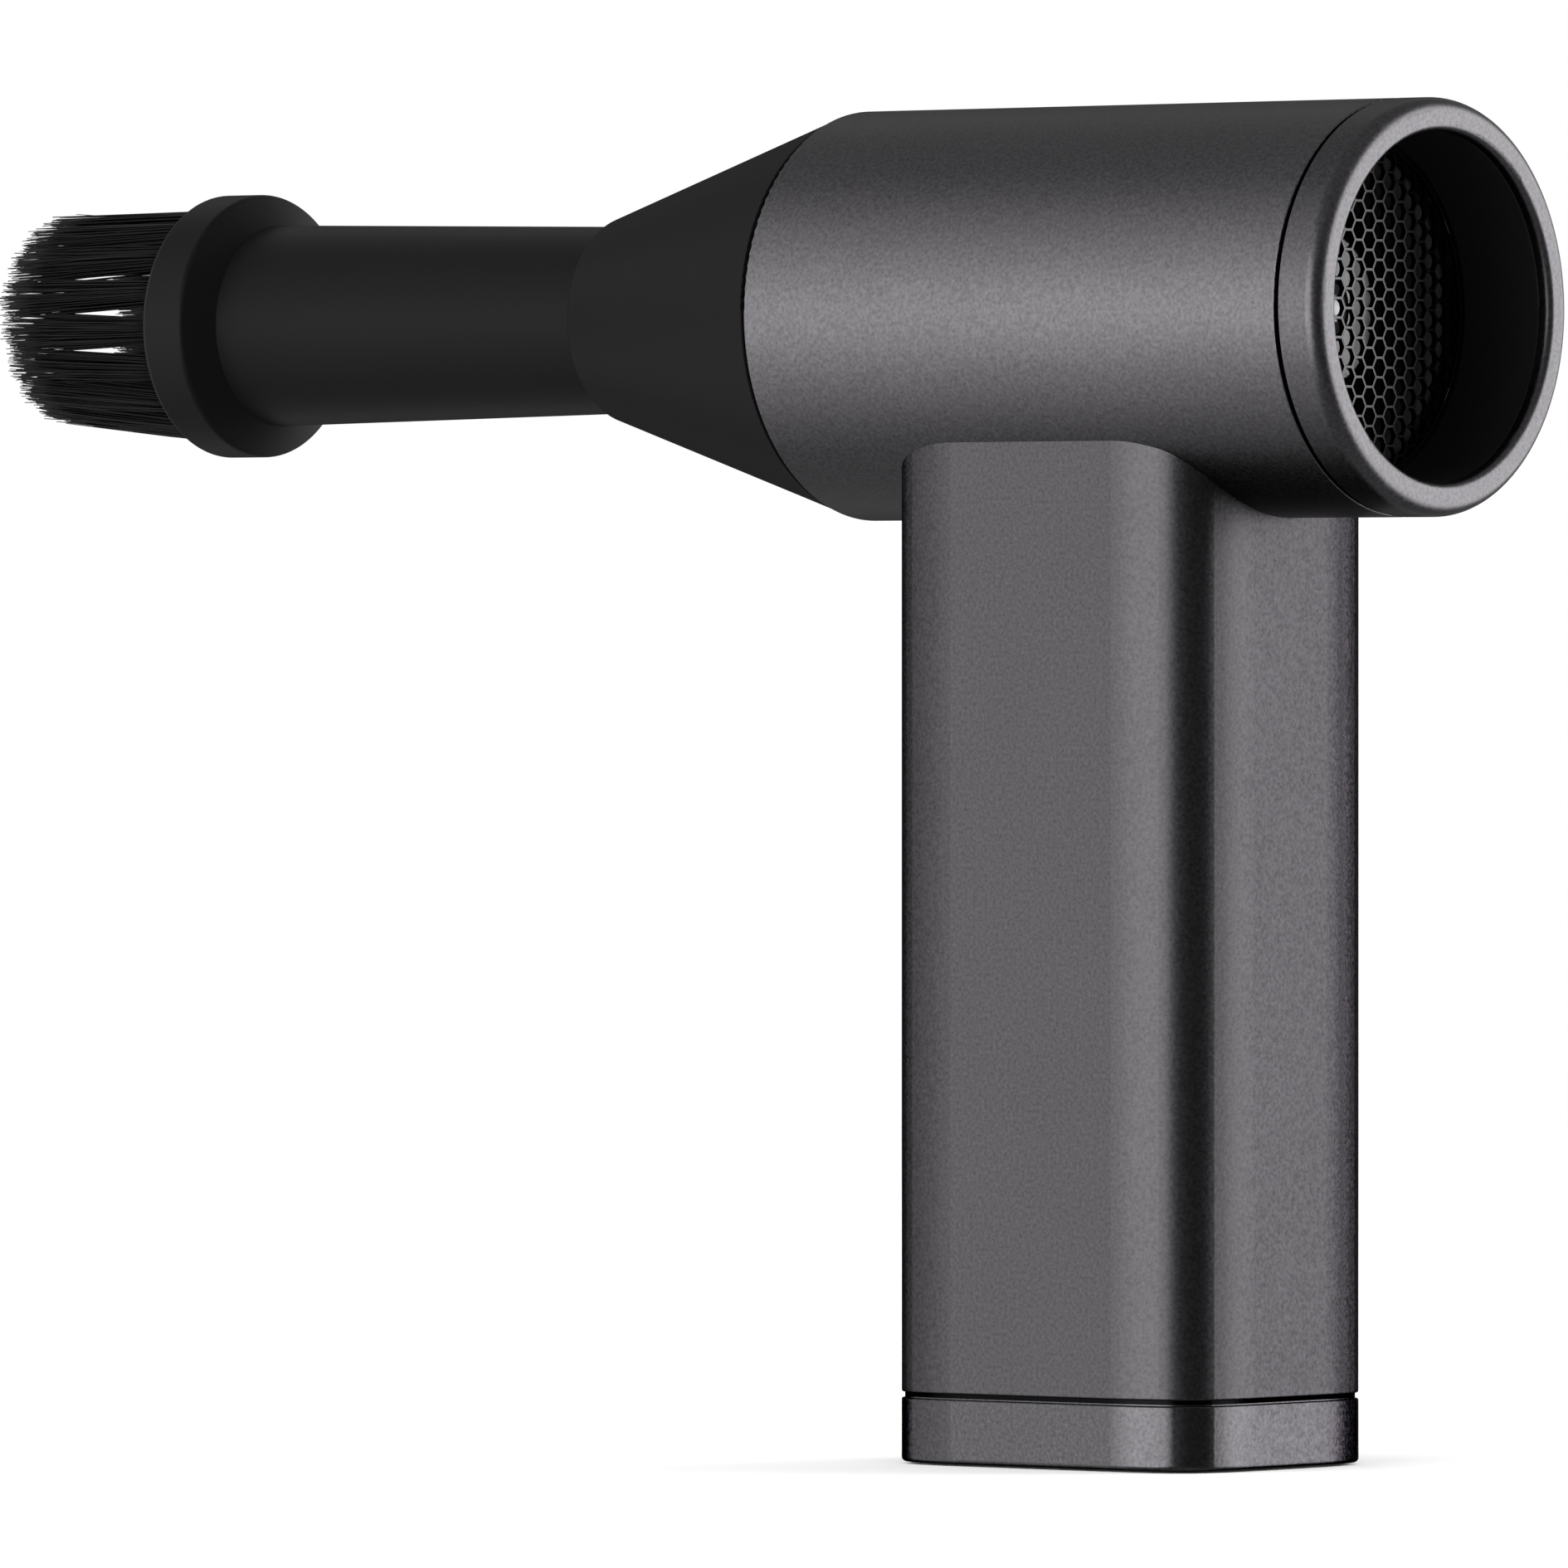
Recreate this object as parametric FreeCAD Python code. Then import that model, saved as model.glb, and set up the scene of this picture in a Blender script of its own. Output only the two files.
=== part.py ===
"""Cordless blower with a push-on ring-brush nozzle, one STEP file per piece.

Millimetres. The origin is the centre of the flat base, +Z is up, +X is the air intake,
-X is the nozzle. The barrel lies along X at the height BARREL_Z.
"""
import FreeCAD, Part
import math
import os

os.makedirs("parts", exist_ok=True)

V = FreeCAD.Vector
X_DIR = V(1, 0, 0)
Z_DIR = V(0, 0, 1)

# Barrel
BARREL_Z = 139.0
BARREL_R = 25.0
BARREL_WALL = 1.8
BARREL_BORE = BARREL_R - BARREL_WALL
BARREL_FRONT = -39.95
BARREL_REAR = 41.2
FRONT_ROUND = 0.3
REAR_ROUND = 0.15
BORE_FIT = 0.05
LEAD_WINDOW_X = (-16.0, -8.0)
LEAD_WINDOW_Y = 6.0
INSIDE_Z = BARREL_Z - 18.0

# Handle, a rectangle in plan whose corners are a tight arc between two easing arcs
HANDLE_X = 48.9
HANDLE_Y = 38.7
CORNER_R = 6.72
EASE_R = 25.4
EASE_ANGLE = math.radians(15)
HANDLE_WALL = 1.6
HANDLE_INNER = HANDLE_X / 2 - HANDLE_WALL
CAP_TOP = 8.02
SEAM_DEPTH = 0.4
SEAM = 0.66
CAP_FLOOR = 4.2
NECK_TOP = 13.5
NECK_WALL = 1.8
PAD_PROUD = 0.25
PAD_TOP = 1.05
PAD_INSET = 3.1
PAD_GAP = 0.1
EDGE_ROUND = 0.25
FOOT_ROUND = 0.6

# Front cone and the socket for nozzles
CONE_BACK = -40.35
CONE_BACK_R = 24.7
CONE_TIP = -78.2
CONE_TIP_R = 12.7
CONE_WALL = 2.1
CONE_TIP_ROUND = 0.7
SOCKET_R = 9.55
SOCKET_DEEP = -64.0
SOCKET_WALL = 1.45
SOCKET_RIM = 4.2
SPIGOT_END = -33.5
SPIGOT_WALL = 1.55

# Brush nozzle
NOZZLE_BACK = -78.55
NOZZLE_BACK_R = 11.53
COLLAR_BACK = -135.4
TUBE_FRONT_R = 12.61
SPIGOT_R = 9.5
SPIGOT_BACK = -66.5
SPIGOT_BORE = 7.0
TUBE_BORE = 9.0
TUBE_NOSE = -141.2
TUBE_NOSE_R = 11.0
COLLAR_R = 16.5
COLLAR_FRONT = -144.5
COLLAR_SLOPE = 2.6
COLLAR_ROUND = 0.8
SEAL_X = -70.0
SEAL_WIRE_R = 0.75
SEAL_GROOVE_R = 7.95
SEAL_GROOVE_HALF = 0.9
SEAL_SHY = 0.02

# Tufts
TUFT_COUNT = 17
TUFT_RING_R = 13.2
TUFT_TURN = 8.2
TUFT_ROOT_R = 1.7
TUFT_HOLE = 4.0
TUFT_TIP = -172.5
TIP_RING_TOP = 12.1
TIP_RING_BOTTOM = 9.9
TUFT_FILL = 0.43

# Intake cover
RING_FRONT = 41.75
RING_REAR = 47.6
RING_BORE = 21.7
LIP_CREST = 23.2
LIP_BORE = 21.0
LIP_ROUND = 0.9
LIP_BACK = 46.0
RING_SPIGOT = 35.5
SHROUD_R = 21.65
SHROUD_BORE = 21.0
SHROUD_MOUTH = 45.8
SHROUD_DRAFT = 0.1
SHROUD_SEAT = 34.2
SHROUD_BACK = 32.8
SEAT_BORE = 19.9
GRILLE_R = 20.95
GRILLE_THICK = 0.6
HEX_PITCH = 2.34
HEX_WALL = 0.28
GRILLE_OPEN_R = 20.2
BELL_LENGTH = 5.1
BELL_MOUTH_R = 20.8
BELL_MIDDLE = (2.9, 18.5)

# Motor and duct
DUCT_R = 19.0
DUCT_BORE = 17.9
DUCT_FRONT = -6.0
DUCT_REAR = 27.3
HUB_R = 11.2
HUB_BORE = 10.55
HUB_FRONT = -4.0
HUB_REAR = 14.0
HUB_FACE = 1.5
VANE_COUNT = 9
VANE_X = (3.0, 13.0)
VANE_THICK = 0.9
VANE_SLANT = 24
ROOT_LAP = 0.3
DAMPER_LENGTH = 3.5
DAMPER_INSET = 0.4
SHAFT_FRONT = -9.5
SHAFT_REAR = 29.6
SHAFT_HOLE_R = 3.0
SHAFT_R = 1.5
BEARING_R = 4.0
BEARING_LENGTH = 3.0
BEARING_FIT = 0.02
BEARING_SEAT = BEARING_LENGTH + 0.2
BOSS_R = 5.2
STATOR_FRONT = -2.0
STATOR_REAR = 8.0
YOKE_BORE = 8.9
STATOR_BORE = 5.2
SHOE_R = 5.9
SLOTS = 6
TOOTH_WIDTH = 2.2
SHOE_WIDTH = 4.2
COIL_WIDTH = 4.6
COIL_HEIGHTS = (6.1, 8.5)
COIL_END = 1.3
MAGNET_R = 4.8
MAGNET_OVERHANG = 0.5
POST_R = 1.2
POST_RING_R = 8.5
BOARD_R = 10.5
BOARD_THICK = 1.2
BOARD_STANDOFF = 6.3
IMPELLER_FRONT = 15.0
BLADE_REAR = 26.0
IMPELLER_R = 17.5
IMPELLER_BACK_R = 11.2
BLADE_COUNT = 9
BLADE_CAMBER = 1.1
BLADE_THICK = 0.7
BLADE_MARGINS = (0.4, 1.4)
BLADE_TWIST = ((5.0, 1.6, -2.2), (19.0, 4.6, -4.2))
NOSE_X = 29.9
NOSE_R = 9.2
NUT_WELL_R = 4.4
NUT_SEAT = 28.4
NUT_R = 3.6
NUT_SHOULDER = 30.2
NUT_TOP = 31.2

# Battery, three cells in a triangle beside the charge board
CELL_R = 9.15
CELL_BOTTOM = 17.0
CELL_TOP = 82.0
PACK_X = 3.0
CELL_SIDE = 9.25
CELL_DEPTH = 7.95
CELLS = [(PACK_X - CELL_SIDE, -CELL_DEPTH), (PACK_X + CELL_SIDE, -CELL_DEPTH), (PACK_X, CELL_DEPTH)]
CRIMP_DROP = 5.6
CRIMP_R = 0.8
POCKET_GAP = 0.4
POCKET_FIT = 0.05
TAB_THICK = 0.15
TAB_HALF = 3.0
HOLDER_X0 = -15.0
HOLDER_GAP = 0.25
TRAY_Z = (14.2, 21.0)
LID_Z = (78.0, 84.0)
BOSS_TOP = 14.5
TRAY_BOSS_R = 3.0
SCREW_R = 1.05
SCREW_CLEAR = 0.3
CAP_SCREW_X = (-10.0, 16.0)
CAP_SCREW_Z = (1.1, 2.9, 11.5)
CAP_SCREW_HEAD_R = 2.3
HEAD_WELL_R = 2.5
LEAD_HOLE_R = 2.5

# Controls on the front face of the handle
TRIGGER_Z = 99.0
TRIGGER_W = 11.0
TRIGGER_H = 21.6
TRIGGER_PROUD = 2.6
TRIGGER_GAP = 0.15
TRIGGER_ROUND = TRIGGER_W / 2 - 0.05
FLANGE_W = 14.0
FLANGE_H = 24.6
FLANGE_FRONT = -22.6
FLANGE_BACK = -21.4
GUIDE_W = 18.0
GUIDE_H = 28.4
GUIDE_WALL_FRONT = -16.0
GUIDE_WALL_BACK = -14.0
FLANGE_ROUND = 3.0
FLANGE_FIT = 0.3
GUIDE_ROUND = 2.0
TRIGGER_EDGE = 1.0
PLUNGER_R = 1.2
PLUNGER_FIT = 0.05
PLUNGER_TIP = -12.7
SPRING_R = 2.6
SPRING_WIRE = 0.45
SPRING_TURNS = 4.5
SPRING_GAP = 0.05
SWITCH_FRONT = -12.5
SWITCH_HALF = (3.2, 6.4)
SWITCH_WELL = 2.6
BOARD_FRONT = -6.5
BOARD_BACK = -5.3
BOARD_HALF_Y = 14.0
BOARD_Z = (85.5, 112.5)
CHIP_HALF_Y = 4.0
CHIP_Z = (98.0, 106.0)
CHIP_THICK = 1.2
CAPACITOR_R = 2.5
CAPACITOR_LENGTH = 6.0
CAPACITOR_Y = 9.5
CAPACITOR_Z = 102.0
LEAD_R = 0.8
MOTOR_LEAD_X = -12.4
MOTOR_LEAD_Z = (131.0, 109.5)
MOTOR_LEAD_BEND = 3.0
MOTOR_LEAD_Y = (-3.0, 0.0, 3.0)
BATTERY_LEAD_Z = 92.0
BATTERY_LEAD_BEND = 3.5
SOCKET_Z = 22.0
SOCKET_SIZE = (8.94, 3.26, 1.6)
SOCKET_PLATE = 0.3
SOCKET_SHY = 0.15
TONGUE_HALF = (3.35, 0.35)
TONGUE_SHY = 0.8
TONGUE_LAP = 0.5
LENS_Z = 74.0
LENS_SIZE = (7.8, 1.6, 0.75)
HOLE_GAP = 0.1
CHARGE_FRONT = -17.0
CHARGE_BACK = -15.9
CHARGE_HALF_Y = 9.0
CHARGE_TOP = 81.0

# Joint between barrel and handle
BRACKET_X0 = 2.0
BRACKET_X1 = 22.0
BRACKET_Z = 108.0
NECK_SCREW_X = (7.0, 17.0)
NECK_SCREW_TOP = 117.5
NECK_SCREW_HEAD = (2.4, 2.1)
SADDLE_BORE = 20.9
SADDLE_HALF_Y = 9.0


# ---- helpers -------------------------------------------------------------------------------

def save(name, *solids):
    """Write one node, holding one solid or a group of like solids."""
    shape = solids[0] if len(solids) == 1 else Part.makeCompound(list(solids))
    shape.exportStep("parts/%s.step" % name)
    print(name, len(shape.Solids), round(shape.Volume, 1), shape.isValid())


def outline(corners, place):
    """Closed wire round (u, v) corners; a third number rounds that corner with that radius."""
    spots = []
    count = len(corners)
    for i, corner in enumerate(corners):
        here = V(corner[0], corner[1], 0)
        to_last = V(corners[i - 1][0], corners[i - 1][1], 0) - here
        to_next = V(corners[(i + 1) % count][0], corners[(i + 1) % count][1], 0) - here
        to_last.normalize()
        to_next.normalize()
        if len(corner) == 2:
            spots.append((here, here, here))
            continue
        half = to_last.getAngle(to_next) / 2
        reach = corner[2] / math.tan(half)
        middle = to_last + to_next
        middle.normalize()
        middle = here + middle * (corner[2] / math.sin(half) - corner[2])
        spots.append((here + to_last * reach, middle, here + to_next * reach))
    edges = []
    for i, (start, middle, end) in enumerate(spots):
        next_start = spots[(i + 1) % count][0]
        if (end - start).Length > 1e-6:
            edges.append(Part.Arc(place(start), place(middle), place(end)).toShape())
        if (next_start - end).Length > 1e-6:
            edges.append(Part.LineSegment(place(end), place(next_start)).toShape())
    return Part.Wire(edges)


def lathe(corners):
    """Solid of revolution about the barrel's axis from (x, radius) corners."""
    wire = outline(corners, lambda p: V(p.x, 0, BARREL_Z + p.y))
    return Part.Face(wire).revolve(V(0, 0, BARREL_Z), X_DIR, 360)


def rod_x(x0, x1, radius, y=0.0, z=BARREL_Z):
    """Round bar along X."""
    return Part.makeCylinder(radius, x1 - x0, V(x0, y, z), X_DIR)


def rod_z(x, y, z0, z1, radius):
    """Round bar along Z."""
    return Part.makeCylinder(radius, z1 - z0, V(x, y, z0), Z_DIR)


def ring_x(x0, x1, outer, inner):
    """Plain ring about the barrel's axis."""
    return rod_x(x0, x1, outer).cut(rod_x(x0 - 1, x1 + 1, inner))


def block(x0, x1, y0, y1, z0, z1):
    """Box between two corners."""
    return Part.makeBox(x1 - x0, y1 - y0, z1 - z0, V(x0, y0, z0))


def rectangle(width, height, radius):
    """Corners of a rounded rectangle about the origin."""
    return [(-width / 2, -height / 2, radius), (width / 2, -height / 2, radius),
            (width / 2, height / 2, radius), (-width / 2, height / 2, radius)]


def eased_corner(corner, into, away, inset):
    """Three arcs round a corner: an easing arc, a tight one and another easing one."""
    tight = CORNER_R - inset
    ease = EASE_R - inset
    turn = EASE_ANGLE
    reach = ease * (math.sin(turn) + 1 - math.cos(turn)) + tight * (math.cos(turn) - math.sin(turn))
    half = reach - ease * math.sin(turn) - tight * (math.sqrt(0.5) - math.sin(turn))

    def eased(angle):
        return ease * math.sin(angle) - reach, ease * (1 - math.cos(angle))

    def spot(u, v):
        return corner + into * u + away * v

    enter = [spot(*eased(angle)) for angle in (0, turn / 2, turn)]
    leave = [spot(-v, -u) for u, v in (eased(angle) for angle in (turn, turn / 2, 0))]
    return [Part.Arc(*enter).toShape(), Part.Arc(enter[2], spot(-half, half), leave[0]).toShape(),
            Part.Arc(*leave).toShape()]


def handle_bar(inset, z0, z1):
    """Upright bar with the handle's plan, drawn in all round by an inset."""
    x = HANDLE_X / 2 - inset
    y = HANDLE_Y / 2 - inset
    corners = [V(-x, -y, z0), V(x, -y, z0), V(x, y, z0), V(-x, y, z0)]
    arcs = []
    for i, corner in enumerate(corners):
        into = (corner - corners[i - 1]).normalize()
        away = (corners[(i + 1) % 4] - corner).normalize()
        arcs.append(eased_corner(corner, into, away, inset))
    edges = []
    for i, corner_edges in enumerate(arcs):
        flat_end = arcs[(i + 1) % 4][0].firstVertex().Point
        edges += corner_edges
        edges.append(Part.LineSegment(corner_edges[2].lastVertex().Point, flat_end).toShape())
    return Part.Face(Part.Wire(edges)).extrude(V(0, 0, z1 - z0))


def tablet(x0, x1, width, height, radius, z):
    """Bar along X with a rounded rectangular section, centred on Y = 0 and the height z."""
    wire = outline(rectangle(width, height, radius), lambda p: V(x0, p.x, p.y + z))
    return Part.Face(wire).extrude(V(x1 - x0, 0, 0))


def around(shape, count, turn=0.0):
    """Copies of a shape spaced evenly about the barrel's axis, the first turned by some degrees."""
    copies = []
    for i in range(count):
        copy = shape.copy()
        copy.rotate(V(0, 0, BARREL_Z), X_DIR, turn + 360.0 * i / count)
        copies.append(copy)
    return copies


def round_level_edges(shape, z, radius):
    """Round the edges that lie at the height z."""
    boxes = [(edge, edge.BoundBox) for edge in shape.Edges]
    edges = [edge for edge, box in boxes if abs(box.ZMin - z) < 1e-4 and abs(box.ZMax - z) < 1e-4]
    return shape.makeFillet(radius, edges)


def bent_lead(points, bend):
    """Insulated wire along three points with one bend."""
    start, corner, end = points
    to_start = (start - corner).normalize()
    to_end = (end - corner).normalize()
    middle = corner + (to_start + to_end).normalize() * (bend * (math.sqrt(2) - 1))
    path = Part.Wire([Part.LineSegment(start, corner + to_start * bend).toShape(),
                      Part.Arc(corner + to_start * bend, middle, corner + to_end * bend).toShape(),
                      Part.LineSegment(corner + to_end * bend, end).toShape()])
    section = Part.Wire(Part.makeCircle(LEAD_R, start, corner - start))
    return path.makePipeShell([section], True, False)


# ---- barrel and handle ---------------------------------------------------------------------

def barrel_housing():
    """Tube with a lead window and two screw holes in its underside."""
    tube = lathe([(BARREL_FRONT, BARREL_BORE), (BARREL_FRONT, BARREL_R, FRONT_ROUND),
                  (BARREL_REAR, BARREL_R, REAR_ROUND), (BARREL_REAR, BARREL_BORE)])
    tube = tube.cut(block(*LEAD_WINDOW_X, -LEAD_WINDOW_Y, LEAD_WINDOW_Y, BRACKET_Z, INSIDE_Z))
    for x in NECK_SCREW_X:
        tube = tube.cut(rod_z(x, 0, BRACKET_Z, INSIDE_Z, SCREW_R + SCREW_CLEAR))
    return tube


def handle_housing():
    """Extruded shell, saddle-cut to the barrel, with openings for trigger, lens and socket."""
    bottom = CAP_TOP + SEAM
    shell = handle_bar(0, bottom, BARREL_Z)
    shell = shell.cut(handle_bar(HANDLE_WALL, bottom - 1, BARREL_Z + 1))
    shell = shell.cut(rod_x(-HANDLE_X, HANDLE_X, BARREL_R))
    outside = -HANDLE_X / 2 - 1
    inside = -HANDLE_INNER + 1
    for size, gap, z in (((TRIGGER_W, TRIGGER_H, TRIGGER_ROUND), TRIGGER_GAP, TRIGGER_Z),
                         (SOCKET_SIZE, HOLE_GAP, SOCKET_Z), (LENS_SIZE, HOLE_GAP, LENS_Z)):
        width, height, radius = size
        shell = shell.cut(tablet(outside, inside, width + 2 * gap, height + 2 * gap, radius + gap, z))
    return round_level_edges(shell, bottom, EDGE_ROUND)


def base_cap():
    """Foot of the handle: a slab, a seat that the shell stands on, a neck inside it and a recess."""
    slab = handle_bar(0, PAD_PROUD, CAP_TOP)
    slab = round_level_edges(slab, PAD_PROUD, FOOT_ROUND)
    slab = round_level_edges(slab, CAP_TOP, EDGE_ROUND)
    cap = slab.fuse(handle_bar(SEAM_DEPTH, CAP_TOP - 1, CAP_TOP + SEAM))
    cap = cap.fuse(handle_bar(HANDLE_WALL + BORE_FIT, CAP_TOP - 1, NECK_TOP))
    cap = cap.cut(handle_bar(HANDLE_WALL + NECK_WALL, CAP_FLOOR, NECK_TOP + 1))
    cap = cap.cut(handle_bar(PAD_INSET - PAD_GAP, 0, PAD_TOP))
    for x in CAP_SCREW_X:
        cap = cap.cut(rod_z(x, 0, 0, CAP_SCREW_Z[1], HEAD_WELL_R))
        cap = cap.cut(rod_z(x, 0, 0, CAP_FLOOR + 1, SCREW_R + SCREW_CLEAR))
    return cap.removeSplitter()


def foot_pad():
    """Rubber pad in the cap's recess, slightly proud."""
    return handle_bar(PAD_INSET, 0, PAD_TOP)


def cap_screws():
    """Two screws from under the pad into the lower cell holder."""
    low, shoulder, top = CAP_SCREW_Z
    return [rod_z(x, 0, low, shoulder, CAP_SCREW_HEAD_R).fuse(rod_z(x, 0, shoulder, top, SCREW_R))
            for x in CAP_SCREW_X]


def neck_bracket():
    """Block across the handle's top that carries the barrel."""
    body = handle_bar(HANDLE_WALL, BRACKET_Z, BARREL_Z)
    body = body.common(block(BRACKET_X0, BRACKET_X1, -HANDLE_Y, HANDLE_Y, BRACKET_Z, BARREL_Z))
    body = body.cut(rod_x(-HANDLE_X, HANDLE_X, BARREL_R))
    for x in NECK_SCREW_X:
        body = body.cut(rod_z(x, 0, BRACKET_Z - 1, BARREL_Z, SCREW_R + SCREW_CLEAR))
    return body


def barrel_saddle():
    """Curved nut plate inside the barrel."""
    plate = ring_x(BRACKET_X0, BRACKET_X1, BARREL_BORE, SADDLE_BORE)
    plate = plate.common(block(BRACKET_X0, BRACKET_X1, -SADDLE_HALF_Y, SADDLE_HALF_Y, 0, BARREL_Z))
    for x in NECK_SCREW_X:
        plate = plate.cut(rod_z(x, 0, BRACKET_Z, BARREL_Z, SCREW_R))
    return plate


def neck_screws():
    """Two screws up through bracket and barrel into the saddle."""
    head_r, head_height = NECK_SCREW_HEAD
    return [rod_z(x, 0, BRACKET_Z - head_height, BRACKET_Z, head_r).fuse(
        rod_z(x, 0, BRACKET_Z, NECK_SCREW_TOP, SCREW_R)) for x in NECK_SCREW_X]


# ---- front cone and brush nozzle -----------------------------------------------------------

def front_cone():
    """Moulded cone with a spigot for the barrel and a round socket for nozzles."""
    slope = (CONE_BACK_R - CONE_TIP_R) / (CONE_BACK - CONE_TIP)
    neck = CONE_TIP + SOCKET_RIM
    inner_r = CONE_TIP_R + slope * SOCKET_RIM - CONE_WALL
    spigot_r = BARREL_BORE - BORE_FIT
    return lathe([(SPIGOT_END, spigot_r - SPIGOT_WALL), (SPIGOT_END, spigot_r, FRONT_ROUND),
                  (CONE_BACK, spigot_r), (CONE_BACK, CONE_BACK_R, FRONT_ROUND),
                  (CONE_TIP, CONE_TIP_R, CONE_TIP_ROUND), (CONE_TIP, SOCKET_R),
                  (SOCKET_DEEP, SOCKET_R), (SOCKET_DEEP, SOCKET_R + SOCKET_WALL),
                  (neck, SOCKET_R + SOCKET_WALL), (neck, inner_r),
                  (CONE_BACK - SPIGOT_WALL, spigot_r - SPIGOT_WALL + FRONT_ROUND)])


def brush_tube():
    """Slightly flared tube, its spigot with a seal groove at the back and a nose for the collar."""
    groove_back = SEAL_X + SEAL_GROOVE_HALF
    groove_front = SEAL_X - SEAL_GROOVE_HALF
    step = NOZZLE_BACK - SPIGOT_WALL
    return lathe([(SPIGOT_BACK, SPIGOT_BORE), (SPIGOT_BACK, SPIGOT_R, FRONT_ROUND),
                  (groove_back, SPIGOT_R), (groove_back, SEAL_GROOVE_R),
                  (groove_front, SEAL_GROOVE_R), (groove_front, SPIGOT_R),
                  (NOZZLE_BACK, SPIGOT_R), (NOZZLE_BACK, NOZZLE_BACK_R, FRONT_ROUND),
                  (COLLAR_BACK, TUBE_FRONT_R), (COLLAR_BACK, TUBE_NOSE_R),
                  (TUBE_NOSE, TUBE_NOSE_R), (TUBE_NOSE, TUBE_BORE),
                  (step, TUBE_BORE), (step, SPIGOT_BORE)])


def nozzle_seal():
    """Rubber ring in the spigot's groove."""
    centre_r = SPIGOT_R - SEAL_SHY - SEAL_WIRE_R
    return Part.makeTorus(centre_r, SEAL_WIRE_R, V(SEAL_X, 0, BARREL_Z), X_DIR)


def brush_collar():
    """Ring that carries the tufts, with one blind hole for each."""
    ring = lathe([(COLLAR_BACK, TUBE_NOSE_R), (COLLAR_BACK, TUBE_FRONT_R),
                  (COLLAR_BACK - COLLAR_SLOPE, COLLAR_R, COLLAR_ROUND),
                  (COLLAR_FRONT, COLLAR_R, COLLAR_ROUND), (COLLAR_FRONT, TUBE_BORE),
                  (TUBE_NOSE, TUBE_BORE), (TUBE_NOSE, TUBE_NOSE_R)])
    hole = rod_x(COLLAR_FRONT - 1, COLLAR_FRONT + TUFT_HOLE, TUFT_ROOT_R, z=BARREL_Z + TUFT_RING_R)
    for cutter in around(hole, TUFT_COUNT, TUFT_TURN):
        ring = ring.cut(cutter)
    return ring


def bristle_tufts():
    """Tufts that widen towards their tips; the lower ones lean in towards the axis."""
    tufts = []
    for i in range(TUFT_COUNT):
        angle = math.radians(TUFT_TURN + 360.0 * i / TUFT_COUNT)
        lean = (1 - math.cos(angle)) / 2
        tip_ring = TIP_RING_TOP + (TIP_RING_BOTTOM - TIP_RING_TOP) * lean
        tip_r = TUFT_FILL * 2 * math.pi * tip_ring / TUFT_COUNT
        up = V(0, -math.sin(angle), math.cos(angle))
        centre = V(0, 0, BARREL_Z)
        places = [(COLLAR_FRONT + TUFT_HOLE, TUFT_RING_R, TUFT_ROOT_R),
                  (COLLAR_FRONT - 0.2, TUFT_RING_R, TUFT_ROOT_R), (TUFT_TIP, tip_ring, tip_r)]
        sections = [Part.Wire(Part.makeCircle(radius, centre + up * ring + X_DIR * x, X_DIR))
                    for x, ring, radius in places]
        tufts.append(Part.makeLoft(sections, True, True))
    return tufts


# ---- intake cover --------------------------------------------------------------------------

def intake_ring():
    """Metal ring with a spigot for the barrel and a round-edged lip that covers the cup's mouth."""
    outer_bend = RING_REAR - (BARREL_R - LIP_CREST)
    inner_bend = RING_REAR - LIP_ROUND
    nose = BARREL_R - LIP_CREST
    half = math.sqrt(0.5)

    def place(x, r):
        return V(x, 0, BARREL_Z + r)

    spots = [place(LIP_BACK, LIP_BORE), place(LIP_BACK, RING_BORE), place(RING_SPIGOT, RING_BORE),
             place(RING_SPIGOT, BARREL_BORE - BORE_FIT), place(RING_FRONT, BARREL_BORE - BORE_FIT),
             place(RING_FRONT, BARREL_R - REAR_ROUND), place(RING_FRONT + REAR_ROUND, BARREL_R),
             place(outer_bend, BARREL_R)]
    edges = [Part.LineSegment(a, b).toShape() for a, b in zip(spots, spots[1:])]
    crest = place(RING_REAR, LIP_CREST)
    brow = place(RING_REAR, LIP_BORE + LIP_ROUND)
    mouth = place(inner_bend, LIP_BORE)
    outer_mid = place(outer_bend + nose * half, LIP_CREST + nose * half)
    inner_mid = place(inner_bend + LIP_ROUND * half, LIP_BORE + LIP_ROUND * (1 - half))
    edges.append(Part.Arc(spots[-1], outer_mid, crest).toShape())
    edges.append(Part.LineSegment(crest, brow).toShape())
    edges.append(Part.Arc(brow, inner_mid, mouth).toShape())
    edges.append(Part.LineSegment(mouth, spots[0]).toShape())
    return Part.Face(Part.Wire(edges)).revolve(V(0, 0, BARREL_Z), X_DIR, 360)


def intake_shroud():
    """Black cup wall with an inward seat for the grille."""
    return lathe([(SHROUD_BACK, SEAT_BORE), (SHROUD_BACK, SHROUD_R), (SHROUD_MOUTH, SHROUD_R),
                  (SHROUD_MOUTH, SHROUD_BORE + SHROUD_DRAFT, REAR_ROUND), (SHROUD_SEAT, SHROUD_BORE),
                  (SHROUD_SEAT, SEAT_BORE)])


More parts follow.
